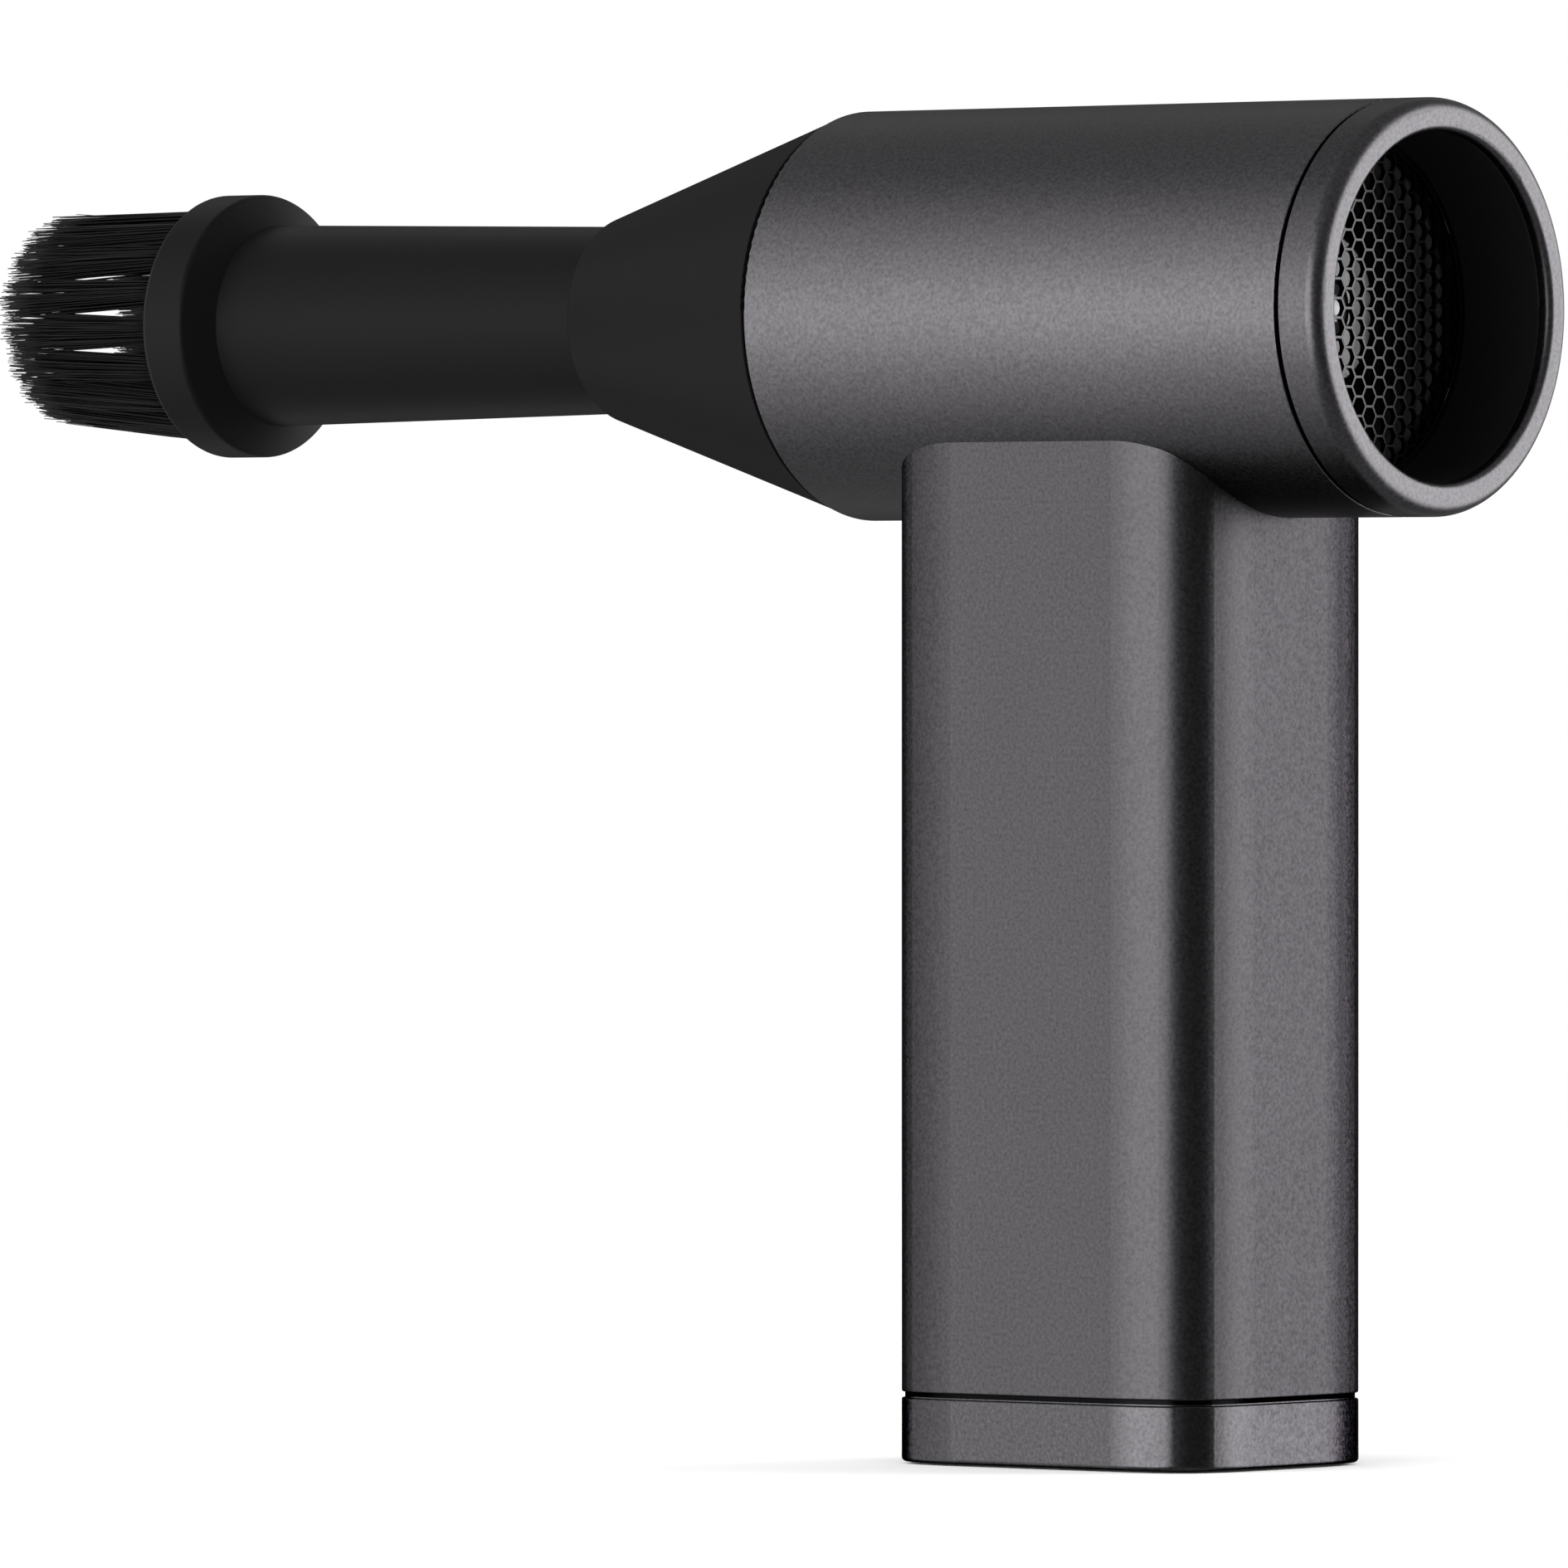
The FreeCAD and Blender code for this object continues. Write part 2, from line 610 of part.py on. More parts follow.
def honeycomb_grille():
    """Disc of flat-topped hexagonal cells in columns, cut off round at the rim."""
    disc = Part.Face(Part.Wire(Part.makeCircle(GRILLE_R, V(SHROUD_SEAT, 0, BARREL_Z), X_DIR)))
    field = Part.Face(Part.Wire(Part.makeCircle(GRILLE_OPEN_R, V(SHROUD_SEAT, 0, BARREL_Z), X_DIR)))
    corner_r = (HEX_PITCH - HEX_WALL) / math.sqrt(3)
    column_step = HEX_PITCH * math.sqrt(3) / 2
    columns = int(GRILLE_OPEN_R / column_step) + 1
    rows = int(GRILLE_OPEN_R / HEX_PITCH) + 2
    cells = []
    for column in range(-columns, columns + 1):
        for row in range(-rows, rows + 1):
            y = column * column_step
            z = (row + 0.5 * (column % 2)) * HEX_PITCH
            reach = math.hypot(y, z)
            if reach > GRILLE_OPEN_R + 0.3 * corner_r:
                continue
            corners = [V(SHROUD_SEAT, y + corner_r * math.cos(k * math.pi / 3),
                         BARREL_Z + z + corner_r * math.sin(k * math.pi / 3)) for k in range(6)]
            cell = Part.Face(Part.makePolygon(corners + corners[:1]))
            if reach > GRILLE_OPEN_R - corner_r:
                cell = cell.common(field)
            cells.append(cell)
    sheet = disc.cut(Part.makeCompound(cells))
    return sheet.Faces[0].extrude(V(GRILLE_THICK, 0, 0))


# ---- motor ---------------------------------------------------------------------------------

def motor_duct():
    """Air duct and motor hub in one piece, joined by slanted vanes, with the rear bearing seat."""
    seat = HUB_REAR - BEARING_SEAT
    lip = seat + BEARING_LENGTH
    hub = lathe([(HUB_FRONT, HUB_BORE), (HUB_FRONT, HUB_R), (HUB_REAR, HUB_R, COLLAR_ROUND),
                 (HUB_REAR, SHAFT_HOLE_R), (lip, SHAFT_HOLE_R), (lip, BEARING_R), (seat, BEARING_R),
                 (seat, BOSS_R), (HUB_REAR - HUB_FACE, BOSS_R), (HUB_REAR - HUB_FACE, HUB_BORE)])
    vane = block(*VANE_X, -VANE_THICK / 2, VANE_THICK / 2,
                 BARREL_Z + HUB_R - ROOT_LAP, BARREL_Z + DUCT_BORE + ROOT_LAP)
    vane.rotate(V(sum(VANE_X) / 2, 0, BARREL_Z), Z_DIR, VANE_SLANT)
    duct = hub.fuse([ring_x(DUCT_FRONT, DUCT_REAR, DUCT_R, DUCT_BORE)] + around(vane, VANE_COUNT))
    return duct.removeSplitter()


def intake_bell():
    """Flared entry ring between the grille and the duct."""
    mouth = DUCT_REAR + BELL_LENGTH
    spots = [V(DUCT_REAR, 0, BARREL_Z + DUCT_BORE), V(DUCT_REAR, 0, BARREL_Z + BARREL_BORE),
             V(mouth, 0, BARREL_Z + BARREL_BORE), V(mouth, 0, BARREL_Z + BELL_MOUTH_R)]
    edges = [Part.LineSegment(a, b).toShape() for a, b in zip(spots, spots[1:])]
    middle = V(DUCT_REAR + BELL_MIDDLE[0], 0, BARREL_Z + BELL_MIDDLE[1])
    edges.append(Part.Arc(spots[3], middle, spots[0]).toShape())
    return Part.Face(Part.Wire(edges)).revolve(V(0, 0, BARREL_Z), X_DIR, 360)


def damper(x0):
    """Rubber ring between duct and barrel."""
    return ring_x(x0, x0 + DAMPER_LENGTH, BARREL_BORE, DUCT_R)


def stator_core():
    """Ring of laminations with pole teeth."""
    tooth = block(STATOR_FRONT, STATOR_REAR, -TOOTH_WIDTH / 2, TOOTH_WIDTH / 2,
                  BARREL_Z + SHOE_R - ROOT_LAP, BARREL_Z + YOKE_BORE + ROOT_LAP)
    shoe = ring_x(STATOR_FRONT, STATOR_REAR, SHOE_R, STATOR_BORE)
    shoe = shoe.common(block(STATOR_FRONT, STATOR_REAR, -SHOE_WIDTH / 2, SHOE_WIDTH / 2,
                             BARREL_Z, BARREL_Z + HUB_R))
    pole = tooth.fuse(shoe)
    core = ring_x(STATOR_FRONT, STATOR_REAR, HUB_BORE, YOKE_BORE).fuse(around(pole, SLOTS))
    return core.removeSplitter()


def stator_windings():
    """One coil round each tooth."""
    low, high = COIL_HEIGHTS
    coil = block(STATOR_FRONT - COIL_END, STATOR_REAR + COIL_END, -COIL_WIDTH / 2, COIL_WIDTH / 2,
                 BARREL_Z + low, BARREL_Z + high)
    coil = coil.cut(block(STATOR_FRONT, STATOR_REAR, -TOOTH_WIDTH / 2, TOOTH_WIDTH / 2,
                          BARREL_Z, BARREL_Z + HUB_R))
    return around(coil, SLOTS)


def motor_end_cap():
    """Plate over the hub's front with the front bearing seat and three posts for the board."""
    plate_front = HUB_FRONT - HUB_FACE
    seat = HUB_FRONT - BEARING_LENGTH - HUB_FACE
    lip = HUB_FRONT - BEARING_SEAT - 1
    plate = lathe([(HUB_FRONT, BEARING_R), (HUB_FRONT, HUB_R), (plate_front, HUB_R),
                   (plate_front, BOSS_R), (seat, BOSS_R), (seat, SHAFT_HOLE_R),
                   (lip, SHAFT_HOLE_R), (lip, BEARING_R)])
    leg = rod_x(HUB_FRONT - BOARD_STANDOFF, HUB_FRONT - 1, POST_R, z=BARREL_Z + POST_RING_R)
    return plate.fuse(around(leg, 3)).removeSplitter()


def bearing(x0):
    """Ball bearing as one closed ring that the shaft runs in."""
    bore = SHAFT_R + BEARING_FIT
    return lathe([(x0, bore), (x0, BEARING_R, REAR_ROUND), (x0 + BEARING_LENGTH, BEARING_R, REAR_ROUND),
                  (x0 + BEARING_LENGTH, bore)])


def motor_board():
    """Round board on the motor's front."""
    back = HUB_FRONT - BOARD_STANDOFF
    return ring_x(back - BOARD_THICK, back, BOARD_R, SHAFT_HOLE_R)


def impeller():
    """Hub with a flat nose and a well for the nut, and cambered, twisted blades."""
    hub = lathe([(IMPELLER_FRONT, SHAFT_R), (IMPELLER_FRONT, IMPELLER_BACK_R, FRONT_ROUND),
                 (NOSE_X, NOSE_R, FRONT_ROUND), (NOSE_X, NUT_WELL_R), (NUT_SEAT, NUT_WELL_R),
                 (NUT_SEAT, SHAFT_R)])
    front_margin, rear_margin = BLADE_MARGINS
    sections = []
    for radius, lead, trail in BLADE_TWIST:
        height = BARREL_Z + radius
        front = V(IMPELLER_FRONT + front_margin, trail, height)
        back = V(BLADE_REAR - rear_margin, lead, height)
        middle = (front + back) * 0.5 + V(0, BLADE_CAMBER, 0)
        shift = V(0, BLADE_THICK, 0)
        sections.append(Part.Wire([
            Part.Arc(front, middle, back).toShape(),
            Part.LineSegment(back, back - shift).toShape(),
            Part.Arc(back - shift, middle - shift, front - shift).toShape(),
            Part.LineSegment(front - shift, front).toShape()]))
    blade = Part.makeLoft(sections, True, True)
    blade = blade.common(ring_x(IMPELLER_FRONT, BLADE_REAR, IMPELLER_R, NUT_WELL_R))
    return hub.fuse(around(blade, BLADE_COUNT)).removeSplitter()


def impeller_nut():
    """Domed nut on the shaft's end."""
    return lathe([(NUT_SEAT, SHAFT_R), (NUT_SEAT, NUT_R), (NUT_SHOULDER, NUT_R, TRIGGER_EDGE),
                  (NUT_TOP, SHAFT_R, TRIGGER_EDGE), (NUT_TOP, 0), (SHAFT_REAR, 0), (SHAFT_REAR, SHAFT_R)])


# ---- battery, boards and controls ----------------------------------------------------------

def battery_cell(x, y):
    """Round cell with the crimp groove near its top."""
    can = rod_z(x, y, CELL_BOTTOM, CELL_TOP, CELL_R)
    return can.cut(Part.makeTorus(CELL_R + CRIMP_R / 2, CRIMP_R, V(x, y, CELL_TOP - CRIMP_DROP), Z_DIR))


def holder_plate(z0, z1):
    """Plan of a cell holder: the handle's inside, short of the charge board."""
    plan = handle_bar(HANDLE_WALL + HOLDER_GAP, z0, z1)
    return plan.common(block(HOLDER_X0, HANDLE_X, -HANDLE_Y, HANDLE_Y, z0, z1))


def lower_cell_holder():
    """Tray under the cells with two screw bosses."""
    tray = holder_plate(*TRAY_Z)
    for x, y in CELLS:
        tray = tray.cut(rod_z(x, y, CELL_BOTTOM - POCKET_GAP, TRAY_Z[1] + 1, CELL_R + POCKET_FIT))
    for strip in bottom_tabs():
        tray = tray.cut(strip)
    for x in CAP_SCREW_X:
        tray = tray.fuse(rod_z(x, 0, CAP_FLOOR, BOSS_TOP, TRAY_BOSS_R))
        tray = tray.cut(rod_z(x, 0, CAP_FLOOR - 1, CAP_SCREW_Z[2], SCREW_R))
    return tray.removeSplitter()


def upper_cell_holder():
    """Lid over the cells with two lead holes."""
    lid = holder_plate(*LID_Z)
    for x, y in CELLS:
        lid = lid.cut(rod_z(x, y, LID_Z[0] - 1, CELL_TOP + POCKET_GAP, CELL_R + POCKET_FIT))
    for side in (-1, 1):
        lid = lid.cut(rod_z(PACK_X, side * CELL_DEPTH, CELL_TOP, LID_Z[1] + 1, LEAD_HOLE_R))
    for strip in top_tabs():
        lid = lid.cut(strip)
    return lid


def tab(first, last, z0, z1):
    """Nickel strip from one cell's centre to another's."""
    run = math.hypot(last[0] - first[0], last[1] - first[1])
    strip = block(-TAB_HALF, run + TAB_HALF, -TAB_HALF, TAB_HALF, z0, z1)
    strip.rotate(V(0, 0, 0), Z_DIR, math.degrees(math.atan2(last[1] - first[1], last[0] - first[0])))
    strip.translate(V(first[0], first[1], 0))
    return strip


def top_tabs():
    """Strips welded to the upper cell ends."""
    span = (CELL_TOP, CELL_TOP + TAB_THICK)
    return [tab(CELLS[0], CELLS[1], *span), tab(CELLS[2], CELLS[2], *span)]


def bottom_tabs():
    """Strips welded to the lower cell ends."""
    span = (CELL_BOTTOM - TAB_THICK, CELL_BOTTOM)
    return [tab(CELLS[1], CELLS[2], *span), tab(CELLS[0], CELLS[0], *span)]


def battery_leads():
    """Two leads from the top strips to the main board."""
    return [bent_lead([V(PACK_X, y, CELL_TOP + TAB_THICK), V(PACK_X, y, BATTERY_LEAD_Z),
                       V(BOARD_BACK, y, BATTERY_LEAD_Z)], BATTERY_LEAD_BEND)
            for y in (-CELL_DEPTH, CELL_DEPTH)]


def motor_leads():
    """Three leads from the motor board down through the barrel's window to the main board."""
    top, low = MOTOR_LEAD_Z
    return [bent_lead([V(MOTOR_LEAD_X, y, top), V(MOTOR_LEAD_X, y, low), V(BOARD_FRONT, y, low)],
                      MOTOR_LEAD_BEND) for y in MOTOR_LEAD_Y]


def main_board():
    """Control board standing across the handle, with a driver chip and two capacitors."""
    board = block(BOARD_FRONT, BOARD_BACK, -BOARD_HALF_Y, BOARD_HALF_Y, *BOARD_Z)
    parts = [block(BOARD_BACK, BOARD_BACK + CHIP_THICK, -CHIP_HALF_Y, CHIP_HALF_Y, *CHIP_Z)]
    for y in (-CAPACITOR_Y, CAPACITOR_Y):
        parts.append(rod_x(BOARD_BACK, BOARD_BACK + CAPACITOR_LENGTH, CAPACITOR_R, y=y, z=CAPACITOR_Z))
    return board.fuse(parts)


def charge_board():
    """Long narrow board beside the cells."""
    return block(CHARGE_FRONT, CHARGE_BACK, -CHARGE_HALF_Y, CHARGE_HALF_Y, TRAY_Z[0], CHARGE_TOP)


def charge_socket():
    """Metal shell of the charge inlet with its tongue."""
    mouth = -HANDLE_X / 2 + SOCKET_SHY
    width, height, radius = SOCKET_SIZE
    inner = (width - 2 * SOCKET_PLATE, height - 2 * SOCKET_PLATE, radius - SOCKET_PLATE)
    shell = tablet(mouth, CHARGE_FRONT, *SOCKET_SIZE, SOCKET_Z)
    shell = shell.cut(tablet(mouth - 1, CHARGE_FRONT - 1, *inner, SOCKET_Z))
    half_y, half_z = TONGUE_HALF
    tongue = block(mouth + TONGUE_SHY, CHARGE_FRONT - TONGUE_LAP, -half_y, half_y,
                   SOCKET_Z - half_z, SOCKET_Z + half_z)
    return shell.fuse(tongue).removeSplitter()


def indicator_lens():
    """Clear light pipe from the charge board's lamp to the handle's face."""
    return tablet(-HANDLE_X / 2, CHARGE_FRONT, *LENS_SIZE, LENS_Z)


def trigger_button():
    """Long button with a flange that keeps it in the handle."""
    face = -HANDLE_X / 2 - TRIGGER_PROUD
    cap = tablet(face, FLANGE_FRONT, TRIGGER_W, TRIGGER_H, TRIGGER_ROUND, TRIGGER_Z)
    rim = [edge for edge in cap.Edges if edge.BoundBox.XMax < face + 0.01]
    cap = cap.makeFillet(TRIGGER_EDGE, rim)
    flange = tablet(FLANGE_FRONT, FLANGE_BACK, FLANGE_W, FLANGE_H, FLANGE_ROUND, TRIGGER_Z)
    return cap.fuse(flange).removeSplitter()


def trigger_guide():
    """Frame behind the handle's wall in which the button's flange slides."""
    frame = tablet(-HANDLE_INNER, GUIDE_WALL_BACK, GUIDE_W, GUIDE_H, GUIDE_ROUND, TRIGGER_Z)
    frame = frame.common(handle_bar(HANDLE_WALL, TRIGGER_Z - GUIDE_H, TRIGGER_Z + GUIDE_H))
    play = 2 * FLANGE_FIT
    cavity = tablet(-HANDLE_X, GUIDE_WALL_FRONT, FLANGE_W + play, FLANGE_H + play, FLANGE_ROUND, TRIGGER_Z)
    frame = frame.cut(cavity)
    return frame.cut(rod_x(GUIDE_WALL_FRONT - 1, GUIDE_WALL_BACK + 1, PLUNGER_R + PLUNGER_FIT, z=TRIGGER_Z))


def trigger_spring():
    """Square-wire coil spring between the flange and the guide's wall."""
    half = SPRING_WIRE / 2
    start = FLANGE_BACK + half + SPRING_GAP
    length = GUIDE_WALL_FRONT - half - SPRING_GAP - start
    path = Part.makeHelix(length / SPRING_TURNS, length, SPRING_R)
    corners = [V(SPRING_R + u * half, 0, v * half) for u, v in ((-1, -1), (1, -1), (1, 1), (-1, 1))]
    section = Part.makePolygon(corners + corners[:1])
    coil = Part.Wire(path.Edges).makePipeShell([section], True, True)
    coil.rotate(V(0, 0, 0), V(0, 1, 0), 90)
    coil.translate(V(start, 0, TRIGGER_Z))
    return coil


def switch_plunger():
    """Rod from the button to the switch."""
    return rod_x(FLANGE_BACK, PLUNGER_TIP, PLUNGER_R, z=TRIGGER_Z)


def micro_switch():
    """Switch body on the main board with a hole for the plunger."""
    half_y, half_z = SWITCH_HALF
    body = block(SWITCH_FRONT, BOARD_FRONT, -half_y, half_y, TRIGGER_Z - half_z, TRIGGER_Z + half_z)
    return body.cut(rod_x(SWITCH_FRONT - 1, SWITCH_FRONT + SWITCH_WELL, PLUNGER_R + HOLE_GAP, z=TRIGGER_Z))


# ---- all pieces ----------------------------------------------------------------------------

save("barrel_housing", barrel_housing())
save("handle_housing", handle_housing())
save("base_cap", base_cap())
save("foot_pad", foot_pad())
save("cap_screws", *cap_screws())
save("neck_bracket", neck_bracket())
save("barrel_saddle", barrel_saddle())
save("neck_screws", *neck_screws())

save("front_cone", front_cone())
save("brush_tube", brush_tube())
save("nozzle_seal", nozzle_seal())
save("brush_collar", brush_collar())
save("bristle_tufts", *bristle_tufts())

save("intake_ring", intake_ring())
save("intake_shroud", intake_shroud())
save("honeycomb_grille", honeycomb_grille())

save("motor_duct", motor_duct())
save("intake_bell", intake_bell())
save("front_damper", damper(DUCT_FRONT + DAMPER_INSET))
save("rear_damper", damper(DUCT_REAR - DAMPER_INSET - DAMPER_LENGTH))
save("stator_core", stator_core())
save("stator_windings", *stator_windings())
save("motor_end_cap", motor_end_cap())
save("front_bearing", bearing(HUB_FRONT - BEARING_SEAT - 1))
save("rear_bearing", bearing(HUB_REAR - BEARING_SEAT))
save("motor_board", motor_board())
save("motor_shaft", rod_x(SHAFT_FRONT, SHAFT_REAR, SHAFT_R))
save("rotor_magnet", ring_x(STATOR_FRONT - MAGNET_OVERHANG, STATOR_REAR + MAGNET_OVERHANG, MAGNET_R, SHAFT_R))
save("impeller", impeller())
save("impeller_nut", impeller_nut())

for number, (cell_x, cell_y) in enumerate(CELLS, 1):
    save("battery_cell_%d" % number, battery_cell(cell_x, cell_y))
save("lower_cell_holder", lower_cell_holder())
save("upper_cell_holder", upper_cell_holder())
save("cell_tabs", *top_tabs(), *bottom_tabs())
save("battery_leads", *battery_leads())
save("motor_leads", *motor_leads())
save("main_board", main_board())
save("charge_board", charge_board())
save("charge_socket", charge_socket())
save("indicator_lens", indicator_lens())
save("trigger_button", trigger_button())
save("trigger_guide", trigger_guide())
save("trigger_spring", trigger_spring())
save("switch_plunger", switch_plunger())
save("micro_switch", micro_switch())
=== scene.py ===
"""Finishes, bristles, grille, stage and camera for a cordless blower.

Metres, +Z up, +X towards the air intake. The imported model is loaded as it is. This file adds the
bristles and the grille as new pieces and gives every piece its finish.
"""

import math

import bpy
import numpy as np
from bpy.props import FloatProperty, FloatVectorProperty, IntProperty, PointerProperty
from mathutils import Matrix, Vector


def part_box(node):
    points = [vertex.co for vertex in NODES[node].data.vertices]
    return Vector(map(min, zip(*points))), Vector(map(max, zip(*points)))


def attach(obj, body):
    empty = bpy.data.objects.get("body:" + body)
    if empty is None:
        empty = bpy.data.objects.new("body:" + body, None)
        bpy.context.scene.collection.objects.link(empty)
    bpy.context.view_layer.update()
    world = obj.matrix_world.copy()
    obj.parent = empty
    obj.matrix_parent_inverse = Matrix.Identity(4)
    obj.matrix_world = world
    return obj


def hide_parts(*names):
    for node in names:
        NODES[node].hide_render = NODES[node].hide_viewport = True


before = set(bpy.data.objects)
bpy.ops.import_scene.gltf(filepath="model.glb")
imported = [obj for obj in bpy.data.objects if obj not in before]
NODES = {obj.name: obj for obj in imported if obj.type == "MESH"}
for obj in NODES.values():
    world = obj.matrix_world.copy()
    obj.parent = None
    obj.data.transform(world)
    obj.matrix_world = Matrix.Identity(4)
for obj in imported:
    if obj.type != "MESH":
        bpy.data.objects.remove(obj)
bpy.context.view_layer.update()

bl_info = {
    "name": "Cordless Blower Dressing",
    "version": (1, 0, 0),
    "blender": (4, 5, 0),
    "location": "3D View > Sidebar > Blower",
    "description": "Adds the bristles, the grille, the finishes and the studio to a cordless blower",
    "category": "Object",
}

MM = 0.001


def middle(node):
    """Centre of a CAD node's box."""
    low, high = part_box(node)
    return (low + high) / 2


AXIS_Z = middle("barrel_housing").z
COLLAR_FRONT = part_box("brush_collar")[0].x
TUFT_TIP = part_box("bristle_tufts")[0].x
GRILLE_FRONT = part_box("honeycomb_grille")[1].x
GRILLE_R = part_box("honeycomb_grille")[1].y
SEAM_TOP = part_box("handle_housing")[0].z
CELL_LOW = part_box("battery_cell_1")[0].z
CELL_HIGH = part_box("battery_cell_1")[1].z


# ---- settings ------------------------------------------------------------------------------

def length(name, description, default):
    """A length in metres."""
    return FloatProperty(name=name, description=description, default=default, min=0.0,
                         precision=5, unit="LENGTH")


def colour(name, description, default):
    """A linear colour."""
    return FloatVectorProperty(name=name, description=description, default=default,
                               subtype="COLOR", size=3, min=0.0, max=1.0)


def factor(name, description, default):
    """A share from 0 to 1."""
    return FloatProperty(name=name, description=description, default=default, min=0.0, max=1.0,
                         subtype="FACTOR")


class BlowerFinishSettings(bpy.types.PropertyGroup):
    """Colours and gloss of the visible shells and mouldings."""
    barrel: colour("Barrel", "Reflectance of the barrel", (0.0375, 0.0359, 0.0383))
    ring: colour("Ring", "Reflectance of the intake ring", (0.0295, 0.0282, 0.0301))
    handle: colour("Handle", "Reflectance of the handle", (0.0197, 0.0189, 0.0201))
    cap: colour("Foot", "Reflectance of the foot cap", (0.0210, 0.0202, 0.0215))
    moulding: colour("Moulding", "Colour of the black mouldings", (0.0030, 0.0030, 0.0030))
    cone: colour("Cone", "Colour of the front cone", (0.0018, 0.0018, 0.0018))
    cup: colour("Cup", "Colour of the cup inside the intake", (0.0050, 0.0050, 0.0050))
    nylon: colour("Nylon", "Colour of the bristles", (0.0010, 0.0010, 0.0010))
    shell_roughness: factor("Shell roughness", "Roughness of the anodised shells", 0.36)
    cap_roughness: factor("Foot roughness", "Roughness of the foot cap", 0.19)
    grain: length("Grain size", "Size of the blasted grain on the shells", 0.00044)
    # The seam height also sets where the painted shade on the foot's neck begins.
    seam: length("Seam height", "Height of the seam between the handle and its foot", 0.00066)


class BlowerBrushSettings(bpy.types.PropertyGroup):
    """Layout of the ring of bristles."""
    tufts: IntProperty(name="Tufts", description="Tufts round the collar", default=17, min=3)
    filaments: IntProperty(name="Filaments", description="Filaments in a tuft", default=125, min=10)
    turn: FloatProperty(name="First tuft", description="Angle of the first tuft from the top",
                        default=math.radians(8.2), unit="ROTATION")
    ring: length("Ring radius", "Distance of the tuft holes from the axis", 0.0132)
    root: length("Root radius", "Radius of a tuft where it leaves the collar", 0.00155)
    tip_ring_top: length("Upper tip ring", "Distance of the upper tips from the axis", 0.0123)
    tip_ring_bottom: length("Lower tip ring", "Distance of the lower tips from the axis", 0.0102)
    tip_depth: factor("Tip depth", "Half-depth of a tuft's tip as a share of the tufts' spacing", 0.46)
    tip_width: factor("Tip width", "Half-width of a tuft's tip as a share of the tufts' spacing", 0.62)
    thickness: length("Thickness", "Thickness of a filament", 0.00025)
    ragged: length("Ragged ends", "How much the filaments differ in length", 0.0023)
    seed: IntProperty(name="Seed", description="Seed of the scatter", default=7, min=0)


class BlowerGrilleSettings(bpy.types.PropertyGroup):
    """Layout of the honeycomb grille."""
    pitch: length("Pitch", "Distance between neighbouring cells", 0.00234)
    wall: length("Wall", "Width of the wall between two cells", 0.00028)
    thickness: length("Thickness", "Thickness of the grille", 0.00060)
    field: length("Open radius", "Radius of the field of cells", 0.0202)


class BlowerStageSettings(bpy.types.PropertyGroup):
    """Camera, floor and light."""
    azimuth: FloatProperty(name="Azimuth", description="Camera's angle from -Y towards +X",
                           default=math.radians(39.277), unit="ROTATION")
    distance: length("Distance", "Camera's distance from the handle's axis", 2.11547)
    height: length("Height", "Camera's height above the floor", 0.0960)
    offset: length("Offset", "How far the camera stands to the left of the handle's axis", 0.04175)
    lens: FloatProperty(name="Lens", description="Focal length on a 36 mm sensor",
                        default=402.4, unit="CAMERA")
    shift: FloatProperty(name="Shift", description="Vertical shift of the frame", default=-0.0738)
    dome: FloatProperty(name="Dome", description="Brightness of the white surroundings", default=1.0)
    floor: factor("Floor", "Reflectance of the floor", 0.82)


# ---- shader nodes --------------------------------------------------------------------------

class Value:
    """A node's output that can be used in arithmetic; each operator adds one Math node."""

    def __init__(self, nodes, socket):
        self.nodes = nodes
        self.socket = socket

    def math(self, operation, first, second):
        return self.nodes.add("ShaderNodeMath", {"operation": operation}, {0: first, 1: second})

    def __add__(self, other):
        return self.math("ADD", self, other)

    __radd__ = __add__

    def __sub__(self, other):
        return self.math("SUBTRACT", self, other)

    def __rsub__(self, other):
        return self.math("SUBTRACT", other, self)

    def __mul__(self, other):
        return self.math("MULTIPLY", self, other)

    __rmul__ = __mul__

    def __truediv__(self, other):
        return self.math("DIVIDE", self, other)

    def __gt__(self, other):
        return self.math("GREATER_THAN", self, other)

    def __lt__(self, other):
        return self.math("LESS_THAN", self, other)


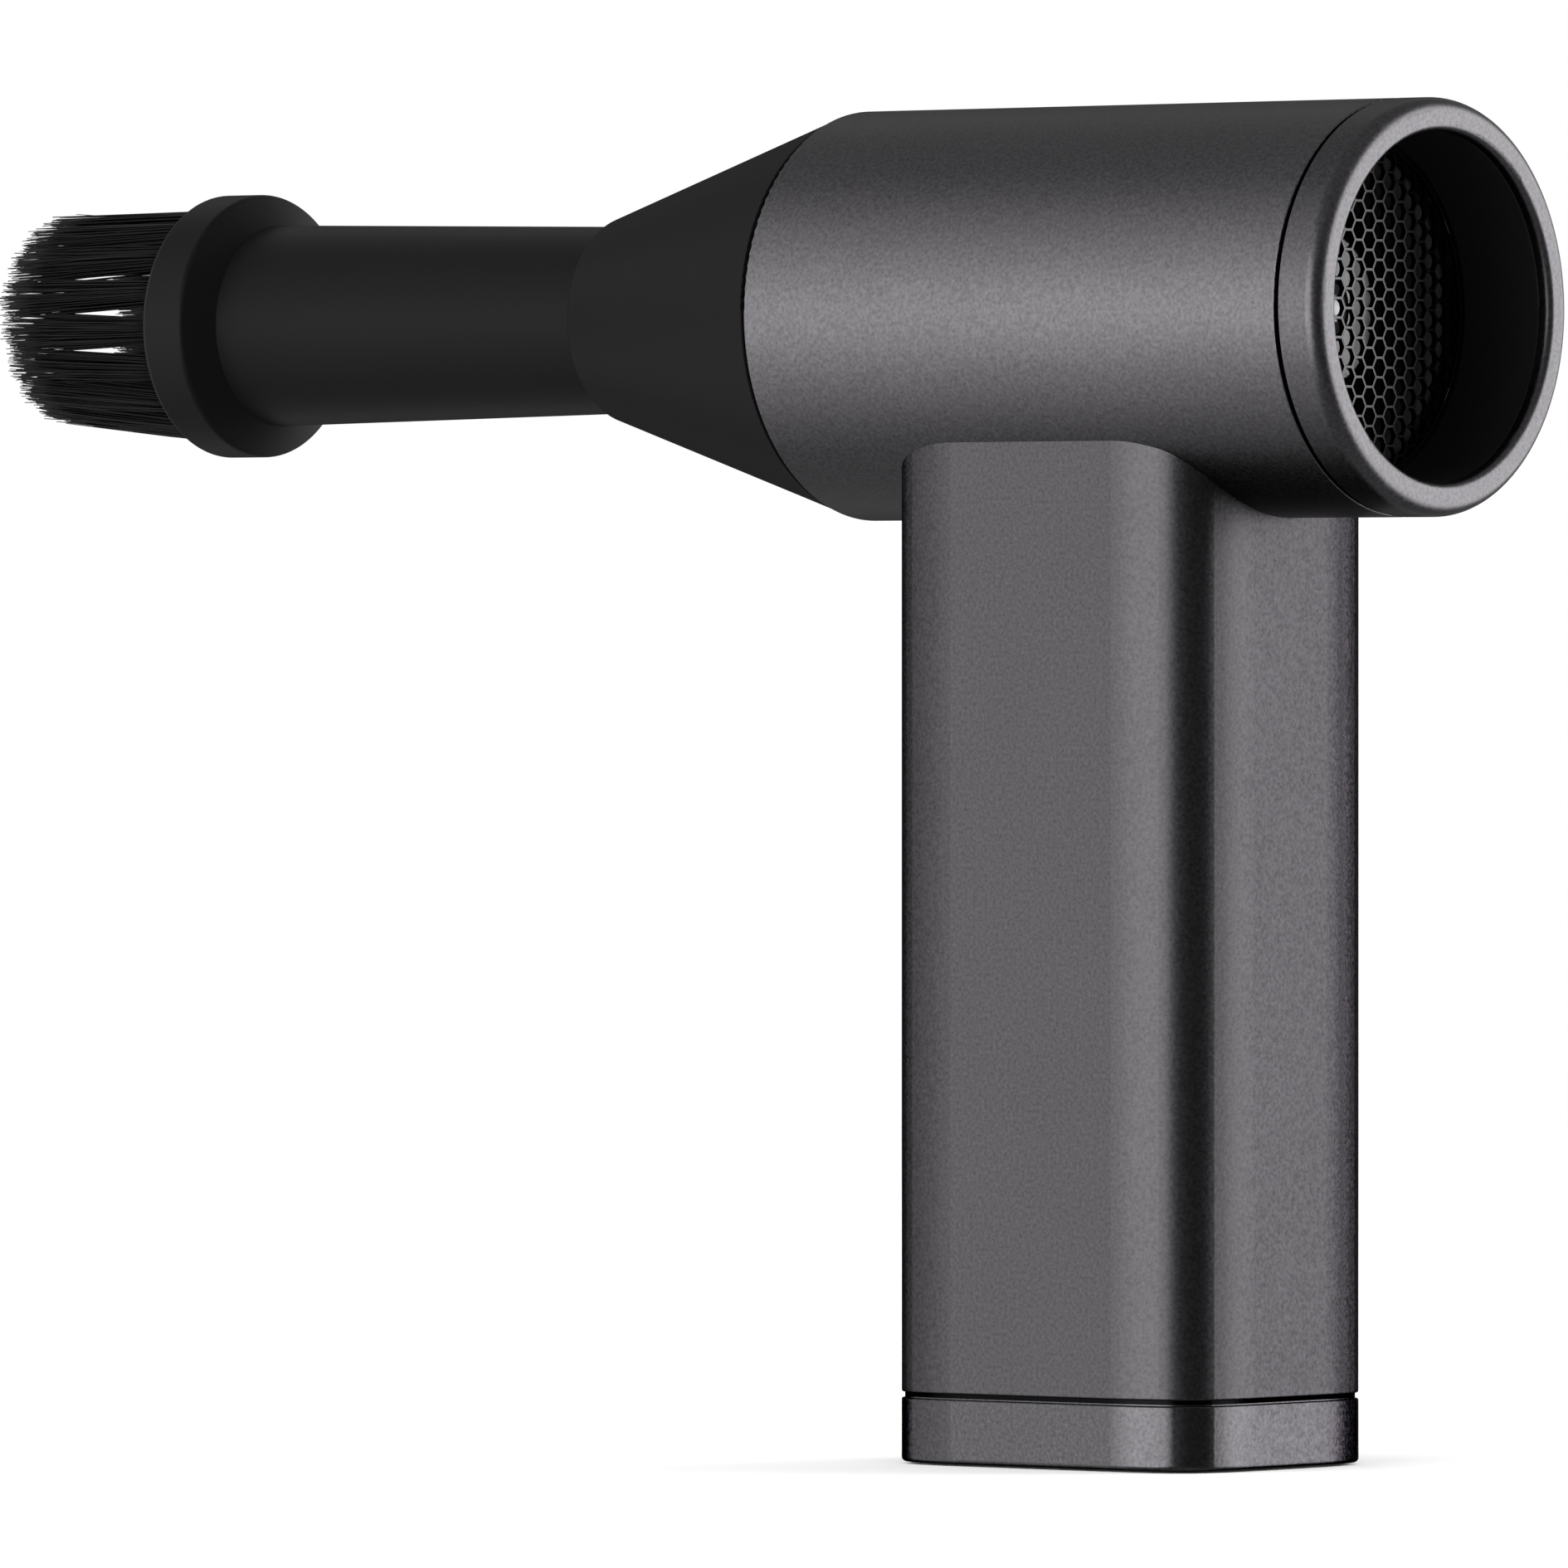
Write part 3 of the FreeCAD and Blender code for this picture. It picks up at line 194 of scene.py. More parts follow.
class Nodes:
    """A node tree being written."""

    def __init__(self, tree):
        self.tree = tree
        tree.nodes.clear()

    def add(self, kind, settings=None, inputs=None, output=0):
        """Add a node: its settings come first, then the values or links of its sockets."""
        node = self.tree.nodes.new(kind)
        for name, value in (settings or {}).items():
            if name == "stops":
                self.set_stops(node.color_ramp, value)
            else:
                setattr(node, name, value)
        for key, value in (inputs or {}).items():
            if isinstance(value, Value):
                self.tree.links.new(value.socket, node.inputs[key])
            else:
                node.inputs[key].default_value = value
        return Value(self, node.outputs[output]) if len(node.outputs) else node

    @staticmethod
    def set_stops(ramp, stops):
        """Give a colour ramp its stops, from (position, grey) pairs."""
        while len(ramp.elements) < len(stops):
            ramp.elements.new(1.0)
        for element, (position, grey) in zip(ramp.elements, stops):
            element.position = position
            element.color = (grey, grey, grey, 1.0)

    def place(self):
        """Object coordinates."""
        return self.add("ShaderNodeTexCoord", output="Object")

    def axes(self):
        """Object coordinates as three numbers."""
        place = self.place()
        return [self.add("ShaderNodeSeparateXYZ", inputs={0: place}, output=i) for i in range(3)]

    def noise(self, size, detail=2.0, stretch=(1.0, 1.0, 1.0)):
        """Noise from 0 to 1 whose grains have a size in metres."""
        spot = self.add("ShaderNodeMapping", inputs={0: self.place(), "Scale": stretch})
        return self.add("ShaderNodeTexNoise", inputs={"Vector": spot, "Scale": 1.0 / size,
                                                      "Detail": detail, "Roughness": 0.55})

    def blend(self, amount, first, second):
        """Mix two colours."""
        inputs = {0: amount, 6: rgba(first), 7: rgba(second)}
        return self.add("ShaderNodeMix", {"data_type": "RGBA"}, inputs, output=2)

    def bump(self, height, distance, strength=1.0):
        """Normal from a height; the distance is the relief's depth in metres."""
        return self.add("ShaderNodeBump", inputs={"Height": height, "Distance": distance,
                                                  "Strength": strength})

    def surface(self, **inputs):
        """Principled shader joined to the output."""
        names = {name.replace("_", " "): value for name, value in inputs.items()}
        shader = self.add("ShaderNodeBsdfPrincipled", inputs=names)
        self.add("ShaderNodeOutputMaterial", inputs={"Surface": shader})


def rgba(colour_value):
    """A colour with its alpha, or a link as it is."""
    if isinstance(colour_value, Value):
        return colour_value
    return (*colour_value, 1.0)


def scaled(tint, share):
    """A tint made lighter or darker."""
    return tuple(channel * share for channel in tint)


def new_material(name):
    """An empty material and its tree."""
    material = bpy.data.materials.new(name)
    material.use_nodes = True
    return material, Nodes(material.node_tree)


# ---- finishes of the shells and mouldings --------------------------------------------------

CLOUD_SIZE = 0.018
PIT_DEPTH = 0.00002


def anodised(name, tint, roughness, grain, edge, painted_shade_from=None):
    """Blasted and anodised aluminium: a fine grain, faint clouding and a satin gloss.

    The edge is the share of white in its glancing reflections. Above the given height the metal is
    painted near-black: painted shade in the seam between the foot and the handle.
    """
    material, nodes = new_material(name)
    speckle = nodes.noise(grain, detail=3.0)
    cloud = nodes.noise(CLOUD_SIZE, detail=2.0)
    shade = (speckle - 0.5) * 1.3 + (cloud - 0.5) * 0.10 + 0.5
    tone = nodes.blend(shade, scaled(tint, 0.5), scaled(tint, 1.5))
    if painted_shade_from is not None:
        # painted shade: the neck above this height, down in the seam, is coloured near-black
        tone = nodes.blend(nodes.axes()[2] > painted_shade_from, tone, scaled(tint, 0.06))
    pits = nodes.noise(grain * 1.3, detail=2.0)
    nodes.surface(Base_Color=tone, Metallic=1.0, Roughness=(speckle - 0.5) * 0.16 + roughness,
                  Specular_Tint=(edge, edge, edge, 1.0), Normal=nodes.bump(pits, PIT_DEPTH, 0.6))
    return material


def moulded(name, tint, roughness=0.42, gloss=0.021, grain=0.00034, depth=0.000006):
    """Spark-textured black plastic: a fine even grain with a soft sheen."""
    material, nodes = new_material(name)
    speckle = nodes.noise(grain, detail=2.0)
    cloud = nodes.noise(0.015, detail=2.0)
    shade = (speckle - 0.5) * 0.5 + (cloud - 0.5) * 0.2 + 0.5
    tone = nodes.blend(shade, scaled(tint, 0.6), scaled(tint, 1.4))
    nodes.surface(Base_Color=tone, Roughness=(speckle - 0.5) * 0.14 + roughness,
                  Specular_IOR_Level=gloss, Normal=nodes.bump(speckle, depth, 0.6))
    return material


def nylon(name, tint):
    """Drawn nylon filaments: each a little lighter or darker, paler where the ends are worn."""
    material, nodes = new_material(name)
    shade = nodes.add("ShaderNodeAttribute", {"attribute_name": "shade"}, output="Fac")
    along = nodes.add("ShaderNodeAttribute", {"attribute_name": "along"}, output="Fac")
    tone = nodes.blend(shade * 0.8 + along * 0.2, scaled(tint, 0.5), scaled(tint, 1.8))
    ripple = nodes.noise(0.0006, detail=2.0, stretch=(0.2, 1.0, 1.0))
    nodes.surface(Base_Color=tone, Roughness=0.38 + ripple * 0.12, Specular_IOR_Level=0.035,
                  Normal=nodes.bump(ripple, 0.000004, 0.4))
    return material


# Depth behind the grille's front face that is coloured paler as a painted highlight.
PAINTED_HIGHLIGHT_DEPTH = 0.00006


def grille_metal():
    """Black-coated perforated metal whose walls' front faces are coloured paler: a painted highlight."""
    material, nodes = new_material("coated_grille")
    speckle = nodes.noise(0.00025, detail=2.0)
    # painted highlight: the front faces of the walls get a paler colour than the bores
    face = nodes.axes()[0] > GRILLE_FRONT - PAINTED_HIGHLIGHT_DEPTH
    dark = nodes.blend(speckle, (0.0045, 0.0045, 0.0047), (0.008, 0.008, 0.0083))
    pale = nodes.blend(speckle, (0.017, 0.017, 0.0175), (0.025, 0.025, 0.0255))
    nodes.surface(Base_Color=nodes.blend(face, dark, pale), Metallic=1.0,
                  Roughness=speckle * 0.12 + 0.28, Specular_Tint=(0.5, 0.5, 0.5, 1.0),
                  Normal=nodes.bump(speckle, 0.000005, 0.5))
    return material


# ---- finishes of the inner pieces ----------------------------------------------------------

def radius_from_axis(nodes):
    """Distance from the barrel's axis."""
    _, y, z = nodes.axes()
    z = z - AXIS_Z
    return nodes.add("ShaderNodeMath", {"operation": "SQRT"}, {0: y * y + z * z})


def turned(name, tint, roughness=0.30, pitch=0.00022):
    """Lathe-turned metal: fine rings about the barrel's axis and faint smears."""
    material, nodes = new_material(name)
    ring = nodes.add("ShaderNodeMath", {"operation": "SINE"},
                     {0: radius_from_axis(nodes) * (2 * math.pi / pitch)})
    smear = nodes.noise(0.002, detail=3.0)
    tone = nodes.blend(ring * 0.18 + smear * 0.6 + 0.1, scaled(tint, 0.7), scaled(tint, 1.25))
    nodes.surface(Base_Color=tone, Metallic=1.0, Roughness=smear * 0.12 + roughness,
                  Normal=nodes.bump(ring, 0.000003, 0.4))
    return material


HUB_REACH = 11.4 * MM


def wheel_metal():
    """Impeller: a pale machined hub and nose, darker blades with a faint cast skin."""
    material, nodes = new_material("impeller_alloy")
    reach = radius_from_axis(nodes)
    ring = nodes.add("ShaderNodeMath", {"operation": "SINE"}, {0: reach * (2 * math.pi / 0.00035)})
    smear = nodes.noise(0.0014, detail=3.0)
    hub = nodes.blend(smear * 0.8 + ring * 0.1, (0.12, 0.12, 0.123), (0.20, 0.20, 0.204))
    blade = nodes.blend(smear, (0.014, 0.014, 0.015), (0.030, 0.030, 0.031))
    nodes.surface(Base_Color=nodes.blend(reach < HUB_REACH, blade, hub), Metallic=1.0,
                  Roughness=smear * 0.15 + 0.34, Normal=nodes.bump(ring, 0.000004, 0.3))
    return material


def rubber(name, tint):
    """Matte moulded rubber with a dusty bloom."""
    material, nodes = new_material(name)
    speckle = nodes.noise(0.0005, detail=3.0)
    bloom = nodes.noise(0.006, detail=2.0)
    tone = nodes.blend(speckle * 0.5 + bloom * 0.5, scaled(tint, 0.6), scaled(tint, 1.6))
    nodes.surface(Base_Color=tone, Roughness=bloom * 0.12 + 0.72, Specular_IOR_Level=0.18,
                  Normal=nodes.bump(speckle, 0.00002, 0.5))
    return material


def banded(name, dark, pale, axis, pitch, metallic, roughness, depth):
    """Bands across one axis: stacked laminations or the turns of a winding."""
    material, nodes = new_material(name)
    wave = nodes.add("ShaderNodeMath", {"operation": "SINE"},
                     {0: nodes.axes()[axis] * (2 * math.pi / pitch)})
    smear = nodes.noise(0.001, detail=3.0)
    tone = nodes.blend(wave * 0.4 + smear * 0.4 + 0.3, dark, pale)
    nodes.surface(Base_Color=tone, Metallic=metallic, Roughness=smear * 0.15 + roughness,
                  Normal=nodes.bump(wave, depth, 0.7))
    return material


TRACK_PITCH = 0.0022
PAD_PITCH = 0.0035
BARE_END = 0.0006


def circuit_board():
    """Lacquered board: copper tracks under a dark green mask, and small pale pads."""
    material, nodes = new_material("board_lacquer")
    x, y, z = nodes.axes()
    flat = nodes.add("ShaderNodeCombineXYZ", inputs={0: y, 1: z, 2: x * 0.0})
    tracks = nodes.add("ShaderNodeTexBrick", {"offset": 0.35}, {
        "Vector": flat, "Color1": (1.0, 1.0, 1.0, 1.0), "Color2": (0.6, 0.6, 0.6, 1.0),
        "Mortar": (0.0, 0.0, 0.0, 1.0), "Scale": 1.0 / TRACK_PITCH, "Mortar Size": 0.09}, output="Fac")
    cells = nodes.add("ShaderNodeTexVoronoi", inputs={"Vector": flat, "Scale": 1.0 / PAD_PITCH})
    pads = cells < 0.22
    mask = nodes.blend(tracks, (0.006, 0.030, 0.014), (0.016, 0.066, 0.030))
    tone = nodes.blend(pads, mask, (0.42, 0.40, 0.36))
    nodes.surface(Base_Color=tone, Metallic=pads * 0.9, Roughness=0.34 - pads * 0.08,
                  Normal=nodes.bump(tracks + pads, 0.00003, 0.5))
    return material


def cell_wrap():
    """Shrink-wrapped can: a dark blue-grey sleeve, with bare steel at both ends."""
    material, nodes = new_material("cell_sleeve")
    z = nodes.axes()[2]
    bare = (z > CELL_HIGH - BARE_END) + (z < CELL_LOW + BARE_END)
    crease = nodes.noise(0.004, detail=3.0, stretch=(1.0, 1.0, 0.25))
    sleeve = nodes.blend(crease, (0.016, 0.050, 0.085), (0.028, 0.078, 0.125))
    steel = nodes.blend(crease, (0.42, 0.42, 0.43), (0.58, 0.58, 0.58))
    nodes.surface(Base_Color=nodes.blend(bare, sleeve, steel), Metallic=bare,
                  Roughness=crease * 0.12 + 0.26, Normal=nodes.bump(crease, 0.00006, 0.5))
    return material


def sheet_metal(name, tint, roughness):
    """Rolled strip with fine draw lines along X."""
    material, nodes = new_material(name)
    lines = nodes.noise(0.0002, detail=3.0, stretch=(0.05, 1.0, 1.0))
    tone = nodes.blend(lines, scaled(tint, 0.7), scaled(tint, 1.15))
    nodes.surface(Base_Color=tone, Metallic=1.0, Roughness=lines * 0.15 + roughness,
                  Normal=nodes.bump(lines, 0.000006, 0.5))
    return material


def clear_lens():
    """Frosted clear light pipe."""
    material, nodes = new_material("frosted_lens")
    frost = nodes.noise(0.0003, detail=2.0)
    tone = nodes.blend(frost, (0.62, 0.64, 0.66), (0.78, 0.80, 0.82))
    nodes.surface(Base_Color=tone, Roughness=frost * 0.15 + 0.18, IOR=1.49, Transmission_Weight=0.55,
                  Normal=nodes.bump(frost, 0.000008, 0.4))
    return material


# ---- surfaces ------------------------------------------------------------------------------

def ring_quads(rings, sides, closed=False):
    """Quads between neighbouring rings of one shape, as indices into (ring, side) points."""
    across = np.arange(rings if closed else rings - 1)[:, None]
    round_ = np.arange(sides)[None, :]
    nearer = across * sides
    further = (across + 1) % rings * sides
    ahead = (round_ + 1) % sides
    corners = (nearer + round_, nearer + ahead, further + ahead, further + round_)
    return np.stack([np.broadcast_to(c, (len(across), sides)) for c in corners], -1).reshape(-1, 4)


def repeated(quads, points_each, copies):
    """The same quads for many copies of a shape, laid one after another."""
    starts = np.arange(copies)[:, None, None] * points_each
    return (quads[None] + starts).reshape(-1, 4)


def new_piece(name, points, quads, material, body, sharp=math.radians(40)):
    """Put points and quads into a mesh that rides on a body."""
    mesh = bpy.data.meshes.new(name)
    mesh.from_pydata(points.reshape(-1, 3), [], quads)
    mesh.validate()
    mesh.shade_smooth()
    mesh.set_sharp_from_angle(angle=sharp)
    mesh.materials.append(material)
    piece = bpy.data.objects.new(name, mesh)
    bpy.context.scene.collection.objects.link(piece)
    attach(piece, body)
    return piece


# A filament: its cross-sections, how deep it is rooted, how unevenly tufts and tips are cut, how far
# it bows and drifts, the share of filaments that stray, and how much further those drift.
FILAMENT_RINGS = 6
TUFT_DEPTH = 2.0 * MM
TUFT_UNEVEN = 0.8 * MM
TIP_DOME = 0.9 * MM
BOW = 0.16 * MM
DRIFT = 0.20 * MM
STRAY_SHARE = 0.08
STRAY_DRIFT = 3.0
TIP_CLEAR = 0.1 * MM


def filament_points(settings):
    """Every filament as rings of four points.

    A filament runs from a spot on its tuft's root disc to the same spot on a tip oval, which is
    wider round the ring than it is deep, plus a bow that is greatest at mid length and a drift that
    grows towards the tip. The rings narrow towards the end.
    """
    rng = np.random.default_rng(settings.seed)
    tufts, each, rings = settings.tufts, settings.filaments, FILAMENT_RINGS
    turn = settings.turn + 2 * math.pi * np.arange(tufts) / tufts
    outward = np.stack([np.zeros(tufts), -np.sin(turn), np.cos(turn)], -1)[:, None]
    sideways = np.stack([np.zeros(tufts), -np.cos(turn), -np.sin(turn)], -1)[:, None]
    lean = (1 - np.cos(turn)) / 2
    tip_ring = settings.tip_ring_top + (settings.tip_ring_bottom - settings.tip_ring_top) * lean
    share = (2 * math.pi * tip_ring / tufts)[:, None, None]
    tip_size = np.stack([settings.tip_depth * share, settings.tip_width * share], 2)

    reach = np.sqrt((np.arange(each) + 0.5) / each)[None] * rng.uniform(0.94, 1.0, (tufts, each))
    golden = math.pi * (3 - math.sqrt(5))
    swirl = golden * np.arange(each)[None] + rng.uniform(0, 2 * math.pi, (tufts, 1))
    disc = np.stack([reach * np.cos(swirl), reach * np.sin(swirl)], -1)

    t = np.linspace(0, 1, rings)[None, None, :]
    start = COLLAR_FRONT + TUFT_DEPTH
    worn = settings.ragged * rng.beta(1.1, 2.6, (tufts, each))
    worn += TUFT_UNEVEN * rng.uniform(0, 1, (tufts, 1))
    worn += TIP_DOME * reach ** 4 * rng.uniform(0, 1, (tufts, each))
    end = TUFT_TIP + TIP_CLEAR + worn
    x = start + (end - start)[..., None] * t
    spread = settings.root + (tip_size - settings.root) * np.stack([t ** 1.6, t], 2)
    bow = rng.normal(0, BOW, (tufts, each, 2, 1)) * np.sin(math.pi * t)[:, :, None]
    stray = np.where(rng.uniform(0, 1, (tufts, each, 1, 1)) < STRAY_SHARE, STRAY_DRIFT, 1.0)
    drift = rng.normal(0, DRIFT, (tufts, each, 2, 1)) * stray * (t ** 2.5)[:, :, None]
    ring_r = settings.ring + (tip_ring[:, None, None] - settings.ring) * t ** 1.15
    across = disc[..., None] * spread + bow + drift
    centre = (ring_r + across[:, :, 0])[..., None] * outward[:, :, None]
    centre = centre + across[:, :, 1][..., None] * sideways[:, :, None]
    centre[..., 0] += x
    centre[..., 2] += AXIS_Z

    half = settings.thickness / 2 * rng.uniform(0.8, 1.15, (tufts, each, 1)) * (1 - 0.55 * t ** 3)
    corner = rng.uniform(0, math.pi / 2, (tufts, each, 1, 1)) + np.arange(4) * math.pi / 2
    offset = half[..., None, None] * (np.cos(corner)[..., None] * outward[:, :, None, None]
                                      + np.sin(corner)[..., None] * sideways[:, :, None, None])
    points = centre[:, :, :, None] + offset
    shade = np.broadcast_to(rng.uniform(0, 1, (tufts, each, 1, 1)), points.shape[:-1])
    along = np.broadcast_to(t[..., None], points.shape[:-1])
    return points, shade, along


def build_bristles(settings, material):
    """Ring of bristle tufts, every filament closed at both ends."""
    points, shade, along = filament_points(settings)
    tufts, each, rings, sides = points.shape[:4]
    ends = np.array([[3, 2, 1, 0], np.arange(4) + (rings - 1) * sides])
    quads = np.concatenate([ring_quads(rings, sides), ends])
    quads = repeated(quads, rings * sides, tufts * each)
    piece = new_piece("bristles", points, quads, material, "brush_nozzle",
                      math.radians(95))
    for name, values in (("shade", shade), ("along", along)):
        attribute = piece.data.attributes.new(name, "FLOAT", "POINT")
        attribute.data.foreach_set("value", np.ascontiguousarray(values, np.float32).ravel())
    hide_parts("bristle_tufts")
    return piece


# The grille: points round a cell, how deep its round throat starts, and the rim's sides, chamfer,
# lap over the cells and height over the plate.
CELL_POINTS = 12
THROAT_SHARE = 0.35
RIM_SIDES = 120
RIM_CHAMFER = 0.06 * MM
RIM_LAP = 0.10 * MM
RIM_PROUD = 0.01 * MM


def hexagon(corner_r, angle):
    """Distance from a hexagon's centre to its outline, its first corner at angle 0."""
    return corner_r * math.cos(math.pi / 6) / np.cos(angle % (math.pi / 3) - math.pi / 6)


def grille_field(settings):
    """Centres of the honeycomb's cells: columns a sine of 60 degrees apart, every other one raised."""
    column_step = settings.pitch * math.sin(math.pi / 3)
    columns = int(settings.field / column_step) + 1
    rows = int(settings.field / settings.pitch) + 2
    column, row = np.meshgrid(np.arange(-columns, columns + 1), np.arange(-rows, rows + 1))
    y = column * column_step
    z = (row + 0.5 * (column % 2)) * settings.pitch
    inside = np.hypot(y, z) < settings.field + 0.3 * settings.pitch
    return np.stack([y[inside], z[inside]], -1)


def build_grille(settings, material):
    """Perforated plate and its rim.

    A cell is five outlines of twelve points: the middle of the walls and their inner edge on the
    front face, a round hole a little behind, the same hole on the back, and the middle of the walls
    again. Points past the open radius are drawn in to it.
    """
    centres = grille_field(settings)
    angle = np.arange(CELL_POINTS) * 2 * math.pi / CELL_POINTS
    middle_r = hexagon(settings.pitch / math.sqrt(3), angle)
    edge_r = hexagon((settings.pitch - settings.wall) / math.sqrt(3), angle)
    hole_r = np.full(CELL_POINTS, (settings.pitch - settings.wall) / 2)
    back = GRILLE_FRONT - settings.thickness
    throat = GRILLE_FRONT - THROAT_SHARE * settings.thickness
    outlines = ((middle_r, GRILLE_FRONT, 0.0), (edge_r, GRILLE_FRONT, 0.5), (hole_r, throat, 0.6),
                (hole_r, back, 0.6), (middle_r, back, 0.0))
    layers = []
    for reach, x, shy in outlines:
        y = centres[:, :1] + reach * np.cos(angle)
        z = centres[:, 1:] + reach * np.sin(angle)
        limit = settings.field - shy * settings.wall
        draw_in = np.minimum(1.0, limit / np.hypot(y, z))
        layers.append(np.stack([np.full(y.shape, x), y * draw_in, z * draw_in + AXIS_Z], -1))
    points = np.stack(layers, 1).reshape(-1, 3)
    quads = ring_quads(len(outlines), CELL_POINTS)[:, ::-1]
    quads = repeated(quads, len(outlines) * CELL_POINTS, len(centres))
    points, quads = welded(points, quads)
    rim_points, rim_quads = grille_rim(settings)
    quads = np.concatenate([quads, rim_quads + len(points)])
    points = np.concatenate([points, rim_points])
    piece = new_piece("grille", points, quads, material, "intake_cover")
    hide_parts("honeycomb_grille")
    return piece


def welded(points, quads):
    """Join points that lie in one place and drop quads that have lost their area."""
    _, first, link = np.unique(np.round(points / 1e-7), axis=0, return_index=True, return_inverse=True)
    quads = link.reshape(-1)[quads]
    ordered = np.sort(quads, 1)
    whole = (np.diff(ordered, axis=1) > 0).all(1)
    return points[first], quads[whole]


def grille_rim(settings):
    """Flat ring round the field: a chamfered rectangle carried round the barrel's axis."""
    sides = RIM_SIDES
    chamfer = RIM_CHAMFER
    inner = settings.field - RIM_LAP
    outer = GRILLE_R
    front = GRILLE_FRONT + RIM_PROUD
    back = GRILLE_FRONT - settings.thickness - RIM_PROUD
    profile = np.array([(front - chamfer, inner), (front, inner + chamfer), (front, outer - chamfer),
                        (front - chamfer, outer), (back + chamfer, outer), (back, outer - chamfer),
                        (back, inner + chamfer), (back + chamfer, inner)])
    turn = 2 * math.pi * np.arange(sides) / sides
    x = np.broadcast_to(profile[:, :1], (len(profile), sides))
    points = np.stack([x, profile[:, 1:] * np.cos(turn), profile[:, 1:] * np.sin(turn) + AXIS_Z], -1)
    return points.reshape(-1, 3), ring_quads(len(profile), sides, closed=True)


# ---- stage ---------------------------------------------------------------------------------

# Soft lights in the surroundings: azimuth from -Y towards +X, height, full and outer half-angles
# in degrees, and brightness over the dome. A negative brightness is a dark card.
SOFT_LIGHTS = (
    ("key", -9, 0, 8, 34, 11.0),
    ("key wing", -56, 0, 14, 54, 3.6),
    ("rear strip", 145, 0, 15, 38, 14.5),
    ("dark card", 72, 0, 16, 42, -0.58),
    ("left card", -136, 0, 12, 38, -0.93),
)


SENSOR_WIDTH = 36.0
VIEW_LIMIT = 50.0
FLOOR_SIDES = 96
FLOOR_RADIUS = 1.8
FLOOR_PLAIN = 0.35
FLOOR_GONE = 1.6


def surroundings(dome):
    """White surroundings with soft lights; the camera sees plain white."""
    world = bpy.data.worlds.new("studio")
    world.use_nodes = True
    bpy.context.scene.world = world
    nodes = Nodes(world.node_tree)
    direction = nodes.add("ShaderNodeTexCoord", output="Generated")
    light = None
    for _, azimuth, height, full, outer, brightness in SOFT_LIGHTS:
        a, h = math.radians(azimuth), math.radians(height)
        aim = (math.sin(a) * math.cos(h), -math.cos(a) * math.cos(h), math.sin(h))
        nearness = nodes.add("ShaderNodeVectorMath", {"operation": "DOT_PRODUCT"},
                             {0: direction, 1: aim}, output="Value")
        glow = nodes.add("ShaderNodeMapRange", {"interpolation_type": "SMOOTHSTEP"}, {
            "Value": nearness, "From Min": math.cos(math.radians(outer)),
            "From Max": math.cos(math.radians(full)), "To Min": 0.0, "To Max": brightness})
        light = glow + dome if light is None else light + glow
    seen = nodes.add("ShaderNodeLightPath", output="Is Camera Ray")
    strength = light * (1 - seen) + seen
    sky = nodes.add("ShaderNodeBackground", inputs={"Color": (1.0, 1.0, 1.0, 1.0), "Strength": strength})
    nodes.add("ShaderNodeOutputWorld", inputs={"Surface": sky})


def build_floor(reflectance):
    """Pale round floor that fades into the white surroundings."""
    sides, radius = FLOOR_SIDES, FLOOR_RADIUS
    turn = 2 * math.pi * np.arange(sides) / sides
    points = np.stack([radius * np.cos(turn), radius * np.sin(turn), np.zeros(sides)], -1)
    mesh = bpy.data.meshes.new("floor")
    mesh.from_pydata(points, [], [np.arange(sides)])
    material, nodes = new_material("pale_floor")
    x, y, _ = nodes.axes()
    reach = nodes.add("ShaderNodeMath", {"operation": "SQRT"}, {0: x * x + y * y})
    fade = nodes.add("ShaderNodeMapRange", {"interpolation_type": "SMOOTHSTEP"}, {
        "Value": reach, "From Min": FLOOR_PLAIN, "From Max": FLOOR_GONE, "To Min": 0.0, "To Max": 1.0})
    paper = nodes.noise(0.03, detail=2.0)
    tone = nodes.blend(paper, (reflectance * 0.995,) * 3, (reflectance * 1.005,) * 3)
    matte = nodes.add("ShaderNodeBsdfDiffuse", inputs={"Color": tone})
    clear = nodes.add("ShaderNodeBsdfTransparent")
    shader = nodes.add("ShaderNodeMixShader", inputs={0: fade, 1: matte, 2: clear})
    nodes.add("ShaderNodeOutputMaterial", inputs={"Surface": shader})
    mesh.materials.append(material)
    floor = bpy.data.objects.new("floor", mesh)
    bpy.context.scene.collection.objects.link(floor)
    floor.visible_glossy = False


def build_camera(settings):
    """Long-lens camera, level, looking square to its azimuth."""
    data = bpy.data.cameras.new("camera")
    data.sensor_width = SENSOR_WIDTH
    data.lens = settings.lens
    data.shift_y = settings.shift
    data.clip_end = VIEW_LIMIT
    camera = bpy.data.objects.new("camera", data)
    sine, cosine = math.sin(settings.azimuth), math.cos(settings.azimuth)
    camera.location = (settings.distance * sine - settings.offset * cosine,
                       -settings.distance * cosine - settings.offset * sine, settings.height)
    camera.rotation_euler = (math.pi / 2, 0, settings.azimuth)
    bpy.context.scene.collection.objects.link(camera)
    bpy.context.scene.camera = camera


# ---- operators -----------------------------------------------------------------------------

def dress(material, *names):
    """Give CAD nodes a finish."""
    for name in names:
        piece = NODES[name]
        if not piece.material_slots:
            raise RuntimeError("%s has no material slot" % name)
        for slot in piece.material_slots:
            slot.material = material


